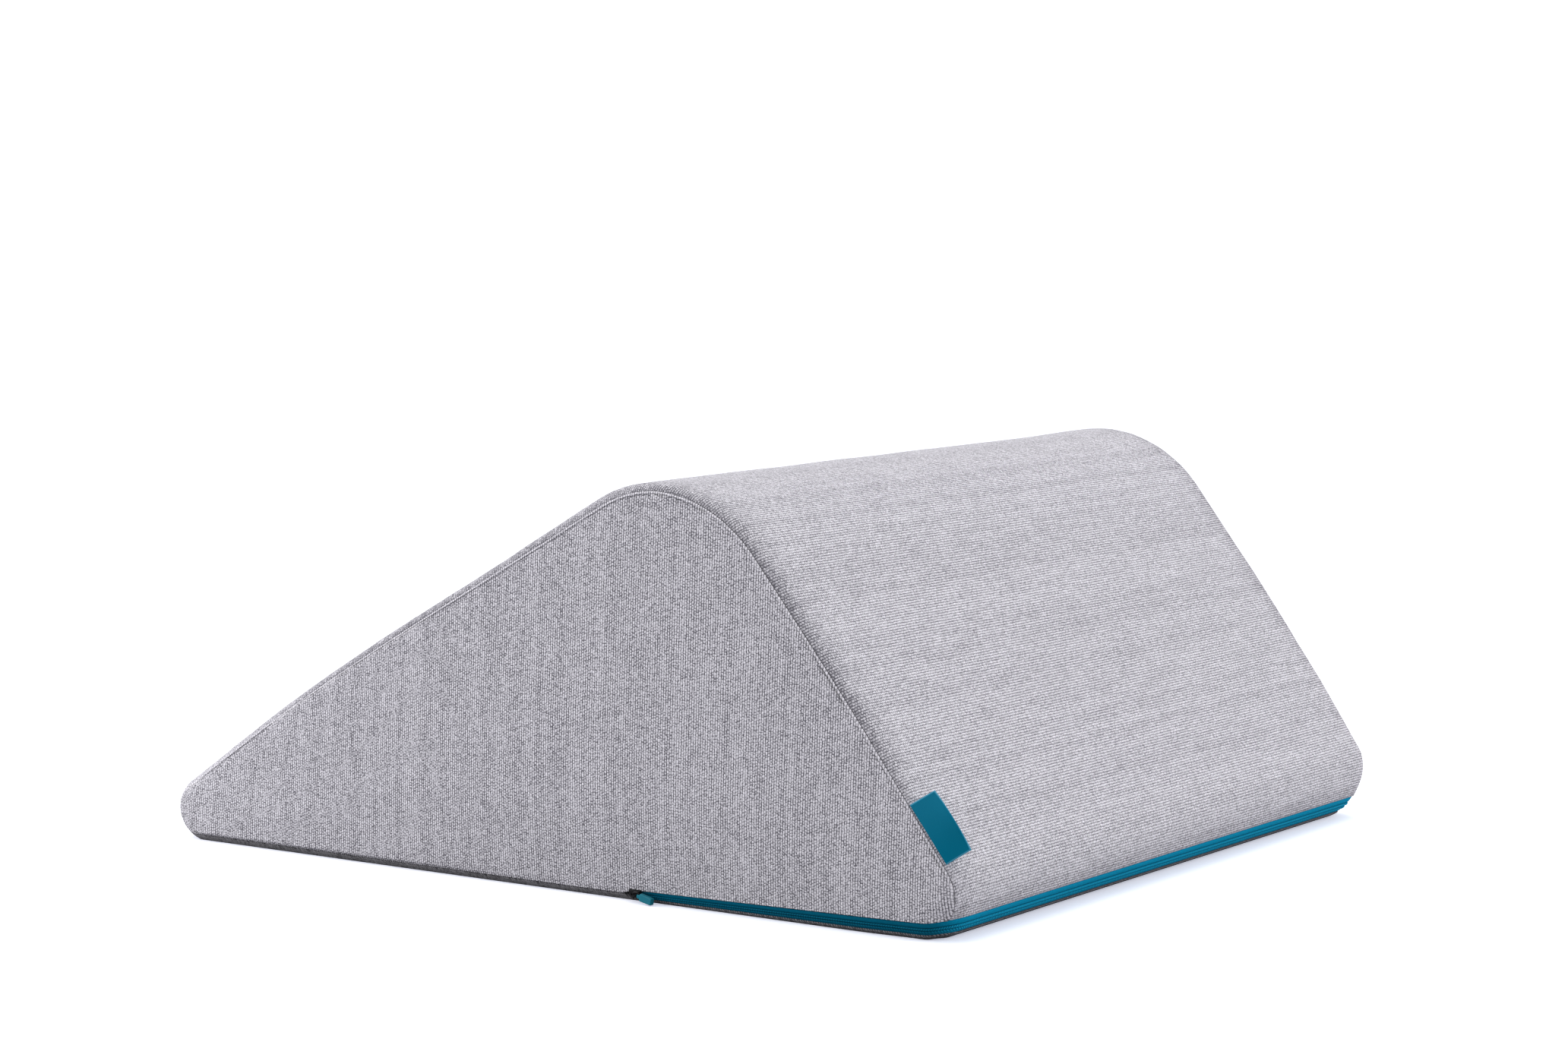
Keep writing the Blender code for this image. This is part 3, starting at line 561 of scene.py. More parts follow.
class NodeBench:
    """Short calls for adding and joining shader nodes in one tree."""

    def __init__(self, tree):
        self.tree = tree

    def add(self, kind, **values):
        node = self.tree.nodes.new(kind)
        for key, value in values.items():
            setattr(node, key, value)
        return node

    def join(self, source, target):
        self.tree.links.new(source, target)

    def feed(self, target, value):
        if isinstance(value, bpy.types.NodeSocket):
            self.join(value, target)
        else:
            target.default_value = value

    def math(self, operation, *values, clamp=False):
        node = self.add("ShaderNodeMath", operation=operation, use_clamp=clamp)
        for target, value in zip(node.inputs, values):
            self.feed(target, value)
        return node.outputs[0]

    def mix(self, share, first, second):
        node = self.add("ShaderNodeMix", data_type="RGBA")
        self.feed(node.inputs["Factor"], share)
        self.feed(node.inputs["A"], first)
        self.feed(node.inputs["B"], second)
        return node.outputs["Result"]

    def ramp(self, value, low, high, out_low=0.0, out_high=1.0):
        node = self.add("ShaderNodeMapRange", interpolation_type="SMOOTHSTEP")
        for key, given in zip(("Value", "From Min", "From Max", "To Min", "To Max"),
                              (value, low, high, out_low, out_high)):
            self.feed(node.inputs[key], given)
        return node.outputs[0]

    def split(self, vector):
        node = self.add("ShaderNodeSeparateXYZ")
        self.join(vector, node.inputs[0])
        return node.outputs

    def vector(self, x, y, z=0.0):
        node = self.add("ShaderNodeCombineXYZ")
        for target, value in zip(node.inputs, (x, y, z)):
            self.feed(target, value)
        return node.outputs[0]

    def cloud(self, vector, scale, detail=2.0, rough=0.5):
        node = self.add("ShaderNodeTexNoise")
        self.feed(node.inputs["Vector"], vector)
        node.inputs["Scale"].default_value = scale
        node.inputs["Detail"].default_value = detail
        node.inputs["Roughness"].default_value = rough
        return node.outputs[0]

    def chance(self, vector):
        """A random value for each vector, with no link between neighbours."""
        node = self.add("ShaderNodeTexWhiteNoise", noise_dimensions="3D")
        self.feed(node.inputs["Vector"], vector)
        return node.outputs["Value"]

    def dome(self, value):
        """A round hump over each whole step of a value: 1 in its middle and 0 at its ends."""
        centred = self.math("SUBTRACT", self.math("MULTIPLY", self.math("FRACT", value), 2.0), 1.0)
        return self.math("SUBTRACT", 1.0, self.math("MULTIPLY", centred, centred))

    def attribute(self, key):
        return self.add("ShaderNodeAttribute", attribute_name=key).outputs["Fac"]


def new_group(name, inputs, outputs):
    """An empty shader node group with these named sockets, and its bench, input node and output node."""
    tree = bpy.data.node_groups.new(name, "ShaderNodeTree")
    for label, kind, value in inputs:
        socket = tree.interface.new_socket(label, in_out="INPUT", socket_type=kind)
        if value is not None:
            socket.default_value = value
    for label, kind in outputs:
        tree.interface.new_socket(label, in_out="OUTPUT", socket_type=kind)
    bench = NodeBench(tree)
    return bench, bench.add("NodeGroupInput").outputs, bench.add("NodeGroupOutput").inputs


# How unevenly the cloth is woven: the jitter of a rib's edges in ribs, and a loop's shift and slack in loops
RIB_JITTER = 0.45
LOOP_SHIFT = 0.4
LOOP_SLACK = 1.1
# How much of a loop's height falls away towards the next loop of its rib, and what each loop and fibre adds
LOOP_DIP = 0.68
LOOP_RISE = 0.35
FIBRE_RISE = 0.25
# How many ribs share one tone, and the size of the grain in the yarn
BAND_RIBS = 3
GRAIN_SIZE = 0.75 * MM
# How fine the noise is, in waves to the metre
JITTER_FINENESS = 420.0
FIBRE_FINENESS = 2600.0
PATCH_FINENESS = 45.0
STREAK_FINENESS_ACROSS = 380.0
STREAK_FINENESS_ALONG = 16.0
# How strongly each thing lightens or darkens the yarn
TONE_WEIGHTS = {"Shade": 0.3, "Band": 0.16, "Streak": 0.34}
GRAIN_WEIGHT = 0.95
PATCH_WEIGHT = 0.2
# Painted shade: how far the roll marks darken the yarn
PAINTED_SHADE_WEIGHT = 0.42
# The paleness of a loop that leaves the cloth's mean tone as it is
MEAN_DOT = 0.46


def woven_ribs():
    """Ribs of rounded loops, each rib's loops half a loop out of step with its neighbour's."""
    name = "Woven ribs"
    if name in bpy.data.node_groups:
        return bpy.data.node_groups[name]
    bench, given, made = new_group(
        name,
        [("Cloth", "NodeSocketVector", None), ("Column", "NodeSocketFloat", 1.7 * MM),
         ("Stitch", "NodeSocketFloat", 1.8 * MM)],
        [("Height", "NodeSocketFloat"), ("Loop", "NodeSocketFloat"), ("Shade", "NodeSocketFloat"),
         ("Band", "NodeSocketFloat"), ("Streak", "NodeSocketFloat")])
    across, along, _ = bench.split(given["Cloth"])
    u = bench.math("DIVIDE", across, given["Column"])
    jitter = bench.cloud(bench.vector(across, along), JITTER_FINENESS, 1.0, 0.5)
    uneven = bench.math("SUBTRACT", jitter, 0.5)
    u = bench.math("ADD", u, bench.math("MULTIPLY", uneven, RIB_JITTER))
    column = bench.math("FLOOR", u)
    step = bench.math("MULTIPLY", bench.math("FLOORED_MODULO", column, 2.0), 0.5)
    shift = bench.math("MULTIPLY", bench.chance(bench.vector(column, 7.0, 1.0)), LOOP_SHIFT)
    v = bench.math("ADD", bench.math("DIVIDE", along, given["Stitch"]), bench.math("ADD", step, shift))
    slack_place = bench.vector(bench.math("MULTIPLY", column, 3.3), bench.math("MULTIPLY", v, 0.8))
    v = bench.math("ADD", v, bench.math("MULTIPLY", bench.cloud(slack_place, 1.0, 1.0), LOOP_SLACK))
    row = bench.math("FLOOR", v)
    dome_u, dome_v = [bench.dome(value) for value in (u, v)]
    dip = bench.math("ADD", bench.math("MULTIPLY", dome_v, LOOP_DIP), 1 - LOOP_DIP)
    loop = bench.math("MULTIPLY", dome_u, dip)
    shade = bench.chance(bench.vector(column, row, 2.0))
    fibre = bench.cloud(bench.vector(across, along), FIBRE_FINENESS, 2.0, 0.6)
    height = bench.math("ADD", loop, bench.math("MULTIPLY", fibre, FIBRE_RISE))
    band = bench.chance(bench.vector(bench.math("FLOOR", bench.math("DIVIDE", column, BAND_RIBS)), 3.0, 5.0))
    streak_place = bench.vector(bench.math("MULTIPLY", across, STREAK_FINENESS_ACROSS),
                                bench.math("MULTIPLY", along, STREAK_FINENESS_ALONG))
    bench.join(bench.math("ADD", height, bench.math("MULTIPLY", shade, LOOP_RISE)), made["Height"])
    bench.join(loop, made["Loop"])
    bench.join(shade, made["Shade"])
    bench.join(band, made["Band"])
    bench.join(bench.cloud(streak_place, 1.0, 3.0, 0.6), made["Streak"])
    return bench.tree


def cloth_tone():
    """Mixes the cloth's two yarns: by loop, by chance from loop to loop, by bands of ribs and by streaks, and
    darkens them by the painted shade it is given.
    """
    name = "Cloth tone"
    if name in bpy.data.node_groups:
        return bpy.data.node_groups[name]
    bench, given, made = new_group(
        name,
        [("Loop", "NodeSocketFloat", 0.5), ("Shade", "NodeSocketFloat", 0.5),
         ("Band", "NodeSocketFloat", 0.5), ("Streak", "NodeSocketFloat", 0.5),
         ("Place", "NodeSocketVector", None),
         ("Light yarn", "NodeSocketColor", (0.6, 0.6, 0.6, 1)),
         ("Dark yarn", "NodeSocketColor", (0.1, 0.1, 0.1, 1)), ("Dots", "NodeSocketFloat", 1.0),
         ("Contrast", "NodeSocketFloat", 1.0), ("Roll", "NodeSocketFloat", 0.0)],
        [("Colour", "NodeSocketColor")])
    across, along, _ = bench.split(given["Place"])
    cells = [bench.math("FLOOR", bench.math("DIVIDE", value, GRAIN_SIZE)) for value in (across, along)]
    grain = bench.chance(bench.vector(*cells, 9.0))
    patch = bench.cloud(given["Place"], PATCH_FINENESS, 2.0, 0.5)
    weighed = [(given[key], weight) for key, weight in TONE_WEIGHTS.items()]
    spread = 0.0
    for value, weight in weighed + [(grain, GRAIN_WEIGHT), (patch, PATCH_WEIGHT)]:
        part = bench.math("MULTIPLY", bench.math("SUBTRACT", value, 0.5), weight)
        spread = bench.math("ADD", part, spread)
    dots = bench.math("SUBTRACT", bench.ramp(given["Loop"], 0.0, 0.95), MEAN_DOT)
    dots = bench.math("MULTIPLY", dots, given["Dots"])
    share = bench.math("ADD", dots, bench.math("MULTIPLY", spread, given["Contrast"]))
    share = bench.math("SUBTRACT", share, bench.math("MULTIPLY", given["Roll"], PAINTED_SHADE_WEIGHT))
    share = bench.math("ADD", share, 0.5, clamp=True)
    bench.join(bench.mix(share, given["Dark yarn"], given["Light yarn"]), made["Colour"])
    return bench.tree


def coil_rows():
    """Fine slanted ridges across a row of zip stitching, and a plain fine twill beside it."""
    name = "Coil rows"
    if name in bpy.data.node_groups:
        return bpy.data.node_groups[name]
    bench, given, made = new_group(
        name,
        [("Cloth", "NodeSocketVector", None), ("Pitch", "NodeSocketFloat", 1.1 * MM),
         ("Slant", "NodeSocketFloat", 1.0)],
        [("Height", "NodeSocketFloat"), ("Groove", "NodeSocketFloat")])
    across, along, _ = bench.split(given["Cloth"])
    slanted = bench.math("ADD", along, bench.math("MULTIPLY", across, given["Slant"]))
    ridge = bench.dome(bench.math("DIVIDE", slanted, given["Pitch"]))
    bench.join(ridge, made["Height"])
    bench.join(bench.ramp(ridge, 0.0, 0.45, 1.0, 0.0), made["Groove"])
    return bench.tree


def use_group(bench, tree, **values):
    """Places a group in a material. A socket whose name has a space is given with an underscore."""
    node = bench.add("ShaderNodeGroup", node_tree=tree)
    for key, value in values.items():
        bench.feed(node.inputs[key.replace("_", " ")], value)
    return node.outputs


def start_material(name, roughness):
    """A material with its bench and its shader."""
    material = bpy.data.materials.new(name)
    material.use_nodes = True
    bench = NodeBench(material.node_tree)
    shader = material.node_tree.nodes["Principled BSDF"]
    shader.inputs["Roughness"].default_value = roughness
    return material, bench, shader


def add_relief(bench, shader, height, distance, strength=1.0):
    """Turns a height that varies over the surface into relief of this depth."""
    bump = bench.add("ShaderNodeBump")
    bump.inputs["Strength"].default_value = strength
    bump.inputs["Distance"].default_value = distance
    bench.join(height, bump.inputs["Height"])
    bench.join(bump.outputs["Normal"], shader.inputs["Normal"])


def opaque(colour, strength=1.0, lift=0.0):
    """The colour made lighter or darker, as a socket takes it."""
    return (*[min(1.0, c * strength + lift) for c in colour], 1.0)


def cloth_material(name, dots, contrast, relief, shade_tint=1.0):
    """The grey melange cloth, from the piece's own cloth coordinates. Its shade tint and its roll marks
    darken it with painted shade, and its fold marks lay a painted highlight on it.
    """
    sizes, colours = bpy.context.scene.bolster_sizes, bpy.context.scene.bolster_colours
    material, bench, shader = start_material(name, 0.92)
    place = bench.add("ShaderNodeUVMap", uv_map="cloth").outputs["UV"]
    ribs = use_group(bench, woven_ribs(), Cloth=place, Column=sizes.column, Stitch=sizes.stitch)
    tone = use_group(bench, cloth_tone(), Loop=ribs["Loop"], Shade=ribs["Shade"], Band=ribs["Band"],
                     Streak=ribs["Streak"], Place=place, Dots=dots, Contrast=contrast,
                     Roll=bench.attribute("roll"), Light_yarn=opaque(colours.light_yarn, shade_tint),
                     Dark_yarn=opaque(colours.dark_yarn, shade_tint))
    # Painted highlight: the fold marks lighten the raised loops towards a pale yarn colour
    raised = bench.ramp(ribs["Loop"], 0.1, 0.9, 0.1, 0.95)
    lit = bench.math("MULTIPLY", bench.attribute("fold"), raised, clamp=True)
    highlight = opaque(colours.light_yarn, max(shade_tint, 0.4) * 1.1)
    bench.join(bench.mix(lit, tone["Colour"], highlight), shader.inputs["Base Color"])
    bench.join(bench.ramp(ribs["Shade"], 0.0, 1.0, 0.98, 0.84), shader.inputs["Roughness"])
    shader.inputs["Specular IOR Level"].default_value = 0.25
    shader.inputs["Sheen Weight"].default_value = 0.1
    shader.inputs["Sheen Roughness"].default_value = 0.5
    add_relief(bench, shader, ribs["Height"], relief)
    return material


# The zip's fine twill, its rows of stitches, and the unevenness of its teal
TWILL_PITCH = 0.62 * MM
ROW_PITCH = 1.7 * MM
ROW_RELIEF = 0.3 * MM
ZIP_FINENESS = 700.0
# How dark the zip's shaded places are, and how far under the hem's shade its part along the ends lies
ZIP_SHADE = 0.18
TUCK_SHADE = 0.74


def zip_material(name, slant):
    """Teal zip cloth: a fine plain tape, with slanted stitches on its row and shade in its grooves."""
    colour = bpy.context.scene.bolster_colours.zip_cloth
    material, bench, shader = start_material(name, 0.75)
    shader.inputs["Specular IOR Level"].default_value = 0.03
    place = bench.add("ShaderNodeUVMap", uv_map="cloth").outputs["UV"]
    twill = use_group(bench, coil_rows(), Cloth=place, Pitch=TWILL_PITCH, Slant=1.0)
    rows = use_group(bench, coil_rows(), Cloth=place, Pitch=ROW_PITCH, Slant=slant)
    on_row, in_groove, tuck = [bench.attribute(key) for key in ("row", "groove", "tuck")]
    height = bench.math("ADD", bench.math("MULTIPLY", rows["Height"], on_row),
                        bench.math("MULTIPLY", twill["Height"], 0.2))
    shaded = bench.math("MULTIPLY", bench.math("MULTIPLY", rows["Groove"], on_row), 1.3, clamp=True)
    shaded = bench.math("MAXIMUM", shaded, bench.math("MULTIPLY", twill["Groove"], 0.3))
    shaded = bench.math("MAXIMUM", shaded, bench.math("MULTIPLY", in_groove, 0.85))
    tick = bench.math("MULTIPLY", bench.ramp(rows["Height"], 0.6, 1.0), on_row)
    tick = bench.math("MAXIMUM", tick, bench.math("MULTIPLY", bench.ramp(twill["Height"], 0.7, 1.0), 0.35))
    dark = opaque(colour, ZIP_SHADE)
    uneven = bench.ramp(bench.cloud(place, ZIP_FINENESS, 2.0, 0.6), 0.35, 0.7, 0.0, 0.25)
    toned = bench.mix(uneven, opaque(colour), dark)
    toned = bench.mix(bench.math("MULTIPLY", tick, 0.5), toned, opaque(colour, 1.5, 0.03))
    toned = bench.mix(shaded, toned, dark)
    bench.join(bench.mix(bench.math("MULTIPLY", tuck, TUCK_SHADE), toned, dark), shader.inputs["Base Color"])
    add_relief(bench, shader, height, ROW_RELIEF)
    return material


def wrap_rings(spots):
    """Rings of the wrap: in from one end's seam, along the ridge, and back in at the other end."""
    sunk = bpy.context.scene.bolster_sizes.cloth + WRAP_UNDERLAP
    starts = [skin_point(s, -1, 0, 0) for s in spots]
    ends = [skin_point(s, 1, 0, 0) for s in spots]

    def off(spot, point, from_seam):
        """How deep the wrap lies below the even skin: sunk under other pieces, and wavy where it is seen."""
        if not spot.on_wrap():
            return sunk
        return -cloth_waves(point) * risen(point.z, WRAP_WAVES_RISE) - seam_ripples(point, from_seam)

    def turned(end, inset_of, depth):
        """The ring at this inset of each spot and at this depth."""
        points = []
        for spot in spots:
            inset = max(0.0, inset_of(spot))
            share = inset / spot.edge_inset()
            flat = skin_point(spot, end, inset, 0, share)
            from_seam = max(0.0, spot.edge_inset() - inset)
            lowered = off(spot, flat, from_seam)
            if spot.on_wrap():
                lowered = depth + lowered * (1 - min(1.0, depth / LIP_FADE))
            points.append(lifted(skin_point(spot, end, inset, lowered, share), sunk))
        return points

    def end_rings(end):
        """From under the end panel, over the lip at the seam and out to the slope."""
        found = [[lifted(face_point(s, end, k, sunk), sunk) for s in spots] for k in UNDER_RINGS]
        found.append(turned(end, lambda s: s.edge_inset() - WRAP_DIVE, sunk))
        found += [turned(end, lambda s, a=away: s.edge_inset() - a, depth) for away, depth in LIP[::-1]]
        for share in TURN_SHARES[:-1]:
            found.append(turned(end, lambda s, k=share: (s.edge_inset() - LIP[0][0]) * k, 0.0))
        return found

    def slope_ring(share):
        """The ring at this share of the way along the ridge."""
        points = []
        for spot, start, end in zip(spots, starts, ends):
            flat = blend(start, end, share)
            from_seam = min((flat - start).length, (flat - end).length) + spot.edge_inset()
            section = spot.section(0, off(spot, flat, from_seam))
            points.append(lifted(Vector((flat.x, section.x, section.y)), sunk))
        return points

    slopes = [slope_ring(i / WRAP_STEPS) for i in range(WRAP_STEPS + 1)]
    return end_rings(-1) + slopes + end_rings(1)[::-1]


def wrap_marks(rings):
    """The wrap's cloth coordinates: round the section as on the middle ring, and along the ridge as the skin
    runs."""
    centre = len(rings) // 2
    middle = rings[centre]
    around = [0.0]
    for first, second in zip(middle, middle[1:] + middle[:1]):
        around.append(around[-1] + (second - first).length)
    along = {centre: [0.0] * len(middle)}
    for direction, rows in ((-1, range(centre - 1, -1, -1)), (1, range(centre + 1, len(rings)))):
        for row in rows:
            last = row - direction
            steps = [direction * (new - old).length for new, old in zip(rings[row], rings[last])]
            along[row] = [travelled + step for travelled, step in zip(along[last], steps)]
    return [list(zip(around, along[row] + along[row][:1])) for row in range(len(rings))]


class BOLSTER_OT_wrap(bpy.types.Operator):
    """The filled body in its wrap panel: taut over the slopes and the ridge, rounded into the end seams"""

    bl_idname = "bolster.wrap"
    bl_label = "Wrap panel"

    def execute(self, context):
        rings = wrap_rings(section_spots())
        wrap = make_grid("wrap_cover", rings, wrap_marks(rings))
        # Painted shade on the wrap: darker under its lip and beside the end seams, fading in above the foot
        under = [SEAM_SHADE_UNDER] * (len(UNDER_RINGS) + 1 + len(LIP))
        turned = under + [blend(*SEAM_SHADE_TURN, eased(share)) for share in TURN_SHARES[:-1]] + list(SEAM_SHADE_SLOPE)
        roll = turned + [0.0] * (len(rings) - 2 * len(turned)) + turned[::-1]
        mark_points(wrap, "roll", [k * risen(p.z, SEAM_SHADE_RISE) for k, ring in zip(roll, rings) for p in ring])
        cloth = cloth_material("Wrap cloth", dots=0.68, contrast=0.68, relief=0.45 * MM)
        finish_piece(wrap, cloth, "wrap_panel")
        return {"FINISHED"}


def panel_spots():
    """The places round an end panel: those of the wrap, each taken once."""
    return [s for s in section_spots() if not (s.zone in ("back_tuck", "front_toe") and s.share == 1.0)]


def panel_mark(point):
    """Where a point of an end panel lies in its cloth. The ribs stand upright, and lean more at the back."""
    lean = RIB_LEAN + RIB_LEAN_MORE * risen(point.y, RIB_LEAN_BACK)
    drift = RIB_DRIFT * wave(Vector((point.y, point.z, 0)), *RIB_DRIFT_WAVE)
    return (point.y - lean * point.z + drift, point.z)


def end_panel(name, end, node, cloth):
    """The triangular panel sewn over one end: a crowned sheet with rolled edges."""
    thickness = bpy.context.scene.bolster_sizes.cloth
    spots = panel_spots()
    outside = []
    for step in range(1, FACE_STEPS):
        share = 1 - (1 - step / FACE_STEPS) ** FACE_CROWDING
        ring = []
        for spot in spots:
            flat = face_point(spot, end, share, 0)
            edge = face_point(spot, end, 1.0, 0)
            calm = risen(flat.z, PANEL_WAVES_RISE)
            lift = cloth_waves(flat) * calm + seam_ripples(flat, (edge - flat).length) * calm
            ring.append(face_point(spot, end, share, -lift))
        outside.append(ring)
    rim = [[skin_point(s, end, s.edge_inset() + away, depth, 1.0) for s in spots] for away, depth, _ in FOLD]
    inner_edge = [skin_point(s, end, s.edge_inset() + FOLD[-1][0], thickness, 1.0) for s in spots]
    inside = [[face_point(s, end, share, thickness) for s in spots] for share in PANEL_BACK_RINGS]
    rings = outside + rim + [inner_edge] + inside
    panel = make_grid(name, rings, round_marks(rings, panel_mark))
    # Painted highlight along the panel's folded edge, fading in above the foot
    highlight = [0.0] * len(outside) + [highlight_strength for _, _, highlight_strength in FOLD] + [0.0] * (1 + len(inside))
    mark_points(panel, "fold", [k * risen(p.z, FOLD_HIGHLIGHT_RISE) for k, ring in zip(highlight, rings) for p in ring])
    finish_piece(panel, cloth, node)
    edge = rim[-1]
    flat = [round(max(values) - min(values), 3) for values in ([p.y for p in edge], [p.z for p in edge])]


class BOLSTER_OT_ends(bpy.types.Operator):
    """The two triangular end panels, sewn into the wrap's edges"""

    bl_idname = "bolster.ends"
    bl_label = "End panels"

    def execute(self, context):
        cloth = cloth_material("End cloth", dots=1.2, contrast=1.15, relief=0.65 * MM)
        end_panel("near_end_cover", -1, "end_panel_near", cloth)
        end_panel("far_end_cover", 1, "end_panel_far", cloth)
        return {"FINISHED"}


def corner_start(corner):
    """How far from the middle the straight front or back of the foot reaches, clear of the corner."""
    return SOLE_LENGTH / 2 - ROUNDING[corner]["along"] - CORNER_CLEARANCE


def mirrored(stops):
    """The near end's stops at the far end, in reverse."""
    return [(kind, 1, measure) for kind, _, measure in stops][::-1]


def zip_stops():
    """The zip's way round the foot: along half of the near end, the whole front and half of the far end."""
    reach = corner_start("front_corner")
    near = [("side", -1, y) for y in side_stops() if y <= ZIP_END_Y][::-1]
    near += [("front_corner", -1, measure) for measure in corner_measures(FRONT)[1:]]
    front = [("front", 0, blend(-reach, reach, i / FRONT_STEPS)) for i in range(FRONT_STEPS + 1)]
    return near + front + mirrored(near)


def foot_loop():
    """The stops all the way round the foot."""
    half = [("front_corner", -1, measure) for measure in corner_measures(FRONT)[:0:-1]]
    half += [("side", -1, y) for y in side_stops()]
    half += [("back_corner", -1, measure) for measure in corner_measures(BACK)[1:]]
    steps = FRONT_STEPS // 2
    shares = [i / steps for i in range(1 - steps, steps)]
    fronts = [("front", 0, -share * corner_start("front_corner")) for share in shares]
    backs = [("back", 0, share * corner_start("back_corner")) for share in shares]
    return fronts + half + backs + mirrored(half)


def on_zip(stop):
    """Whether the zip runs past this stop of the foot."""
    kind, _, measure = stop
    return kind.startswith("front") or (kind == "side" and measure < ZIP_END_Y)


class BOLSTER_OT_base(bpy.types.Operator):
    """The base panel: flat on the floor, with its rim turned up round the foot"""

    bl_idname = "bolster.base"
    bl_label = "Base panel"

    def execute(self, context):
        cloth = context.scene.bolster_sizes.cloth
        stops = foot_loop()
        rims = [(between_lines("floor", "sole_rim", share), depth) for share, depth, _ in BASE_RIM]
        outside = [[foot_point(stop, rim, depth) for stop in stops] for rim, depth in rims]
        inside = [[lifted(foot_point(stop, rim, cloth), cloth) for stop in stops] for rim, _ in rims]

        def flat_rings(ring, height):
            """Rings on the flat, from near the middle out towards a ring."""
            return [[blend(Vector((0, 0, height)), Vector((p.x, p.y, height)), share) for p in ring]
                    for share in BASE_RINGS]

        under, over = flat_rings(outside[0], 0), flat_rings(inside[0], cloth)
        rings = under + outside + inside[::-1] + over[::-1]
        base = make_grid("base_cover", rings, round_marks(rings, lambda p: (p.y - p.z, p.x)))
        # Painted highlight along the top of the base's rim, where the zip runs
        highlight = [0.0] * len(under) + [highlight_strength for _, _, highlight_strength in BASE_RIM]
        highlight += [0.0] * (len(rings) - len(highlight))
        zipped = [float(on_zip(stop)) for stop in stops]
        mark_points(base, "fold", [highlight_strength * share for highlight_strength in highlight for share in zipped])
        # Painted shade: the base's yarn is darker where the zip runs above it
        mark_points(base, "roll", zipped * len(rings))
        # Painted shade: the whole base panel is darkened to 0.28 of the cloth's colours
        material = cloth_material("Base cloth", dots=1.0, contrast=1.1, relief=0.6 * MM, shade_tint=0.28)
        finish_piece(base, material, "base_panel")
        return {"FINISHED"}


# A tape's outside, across it: (share of its width, depth, 1 on a stitched row, 1 in a groove)
PLAIN = 0.72 * MM
GROOVE = 1.15 * MM
UPPER_TAPE = (
    (0.0, 1.1 * MM, 0, 1), (0.03, 0.85 * MM, 0, 0), (0.08, PLAIN, 0, 0), (0.35, PLAIN, 0, 0),
    (0.6, PLAIN, 0, 0), (0.63, 0.9 * MM, 0, 0.5), (0.66, GROOVE, 0, 1), (0.7, GROOVE, 0, 1),
    (0.73, 0.7 * MM, 1, 0.4), (0.77, 0.3 * MM, 1, 0), (0.84, 0.15 * MM, 1, 0), (0.9, 0.2 * MM, 1, 0),
    (0.95, 0.5 * MM, 1, 0.3), (0.98, GROOVE, 1, 1), (1.0, GROOVE, 0, 1),
)
LOWER_TAPE = (
    (0.0, GROOVE, 0, 1), (0.03, GROOVE, 1, 1), (0.08, 0.5 * MM, 1, 0.3), (0.15, 0.2 * MM, 1, 0),
    (0.27, 0.15 * MM, 1, 0), (0.38, 0.25 * MM, 1, 0), (0.46, 0.6 * MM, 1, 0.4), (0.52, GROOVE, 0, 1),
    (0.59, GROOVE, 0, 1), (0.65, 0.85 * MM, 0, 0.3), (0.7, PLAIN, 0, 0), (0.9, PLAIN, 0, 0),
    (1.0, 1.1 * MM, 0, 1),
)
TAPE_BACK = 1.9 * MM
TAPE_CLEARANCE = 0.2 * MM
ROW_SLANT = 0.7


def zip_tape(name, high, low, section, slant, node):
    """One tape of the zip, with its stitched row beside the zip's middle."""
    stops = zip_stops()
    rings, marks = [], []
    travelled, last = 0.0, None
    for stop in stops:
        middle = foot_point(stop, between_lines(high, low, 0.5), 0)
        travelled += 0.0 if last is None else (middle - last).length
        last = middle
        width = (foot_point(stop, FOOT_LINES[high], 0) - foot_point(stop, FOOT_LINES[low], 0)).length
        edge = TAPE_CLEARANCE / width
        outer = [(blend(edge, 1 - edge, share), depth) for share, depth, _, _ in section]
        inner = [(share, TAPE_BACK) for share in (outer[-1][0], 0.5, outer[0][0])]
        ring = outer + inner
        rings.append([foot_point(stop, between_lines(high, low, share), depth) for share, depth in ring])
        marks.append([(share * width, travelled) for share, _ in ring + ring[:1]])
    tape = make_grid(name, rings, marks)
    for column, key in ((2, "row"), (3, "groove")):
        across = [float(point[column]) for point in section] + [0.0] * len(inner)
        mark_points(tape, key, across * len(rings))
    tucks = [{"side": 1.0, "front": 0.0}.get(kind, eased(measure)) for kind, _, measure in stops]
    mark_points(tape, "tuck", [tuck for tuck in tucks for _ in ring])
    finish_piece(tape, zip_material(name + " cloth", slant), node)


class BOLSTER_OT_zip(bpy.types.Operator):
    """The two zip tapes with their stitched rows, round the front half of the foot"""

    bl_idname = "bolster.zip"
    bl_label = "Zip tapes"

    def execute(self, context):
        zip_tape("upper_zip_tape", "hem", "zip_middle", UPPER_TAPE, ROW_SLANT, "zip_tape_upper")
        zip_tape("lower_zip_tape", "zip_middle", "sole_rim", LOWER_TAPE, -ROW_SLANT, "zip_tape_lower")
        return {"FINISHED"}


ENAMEL_BLACK = (0.003, 0.003, 0.004)
MOULDING_FINENESS = 900.0
MOULDING_RELIEF = 0.02 * MM


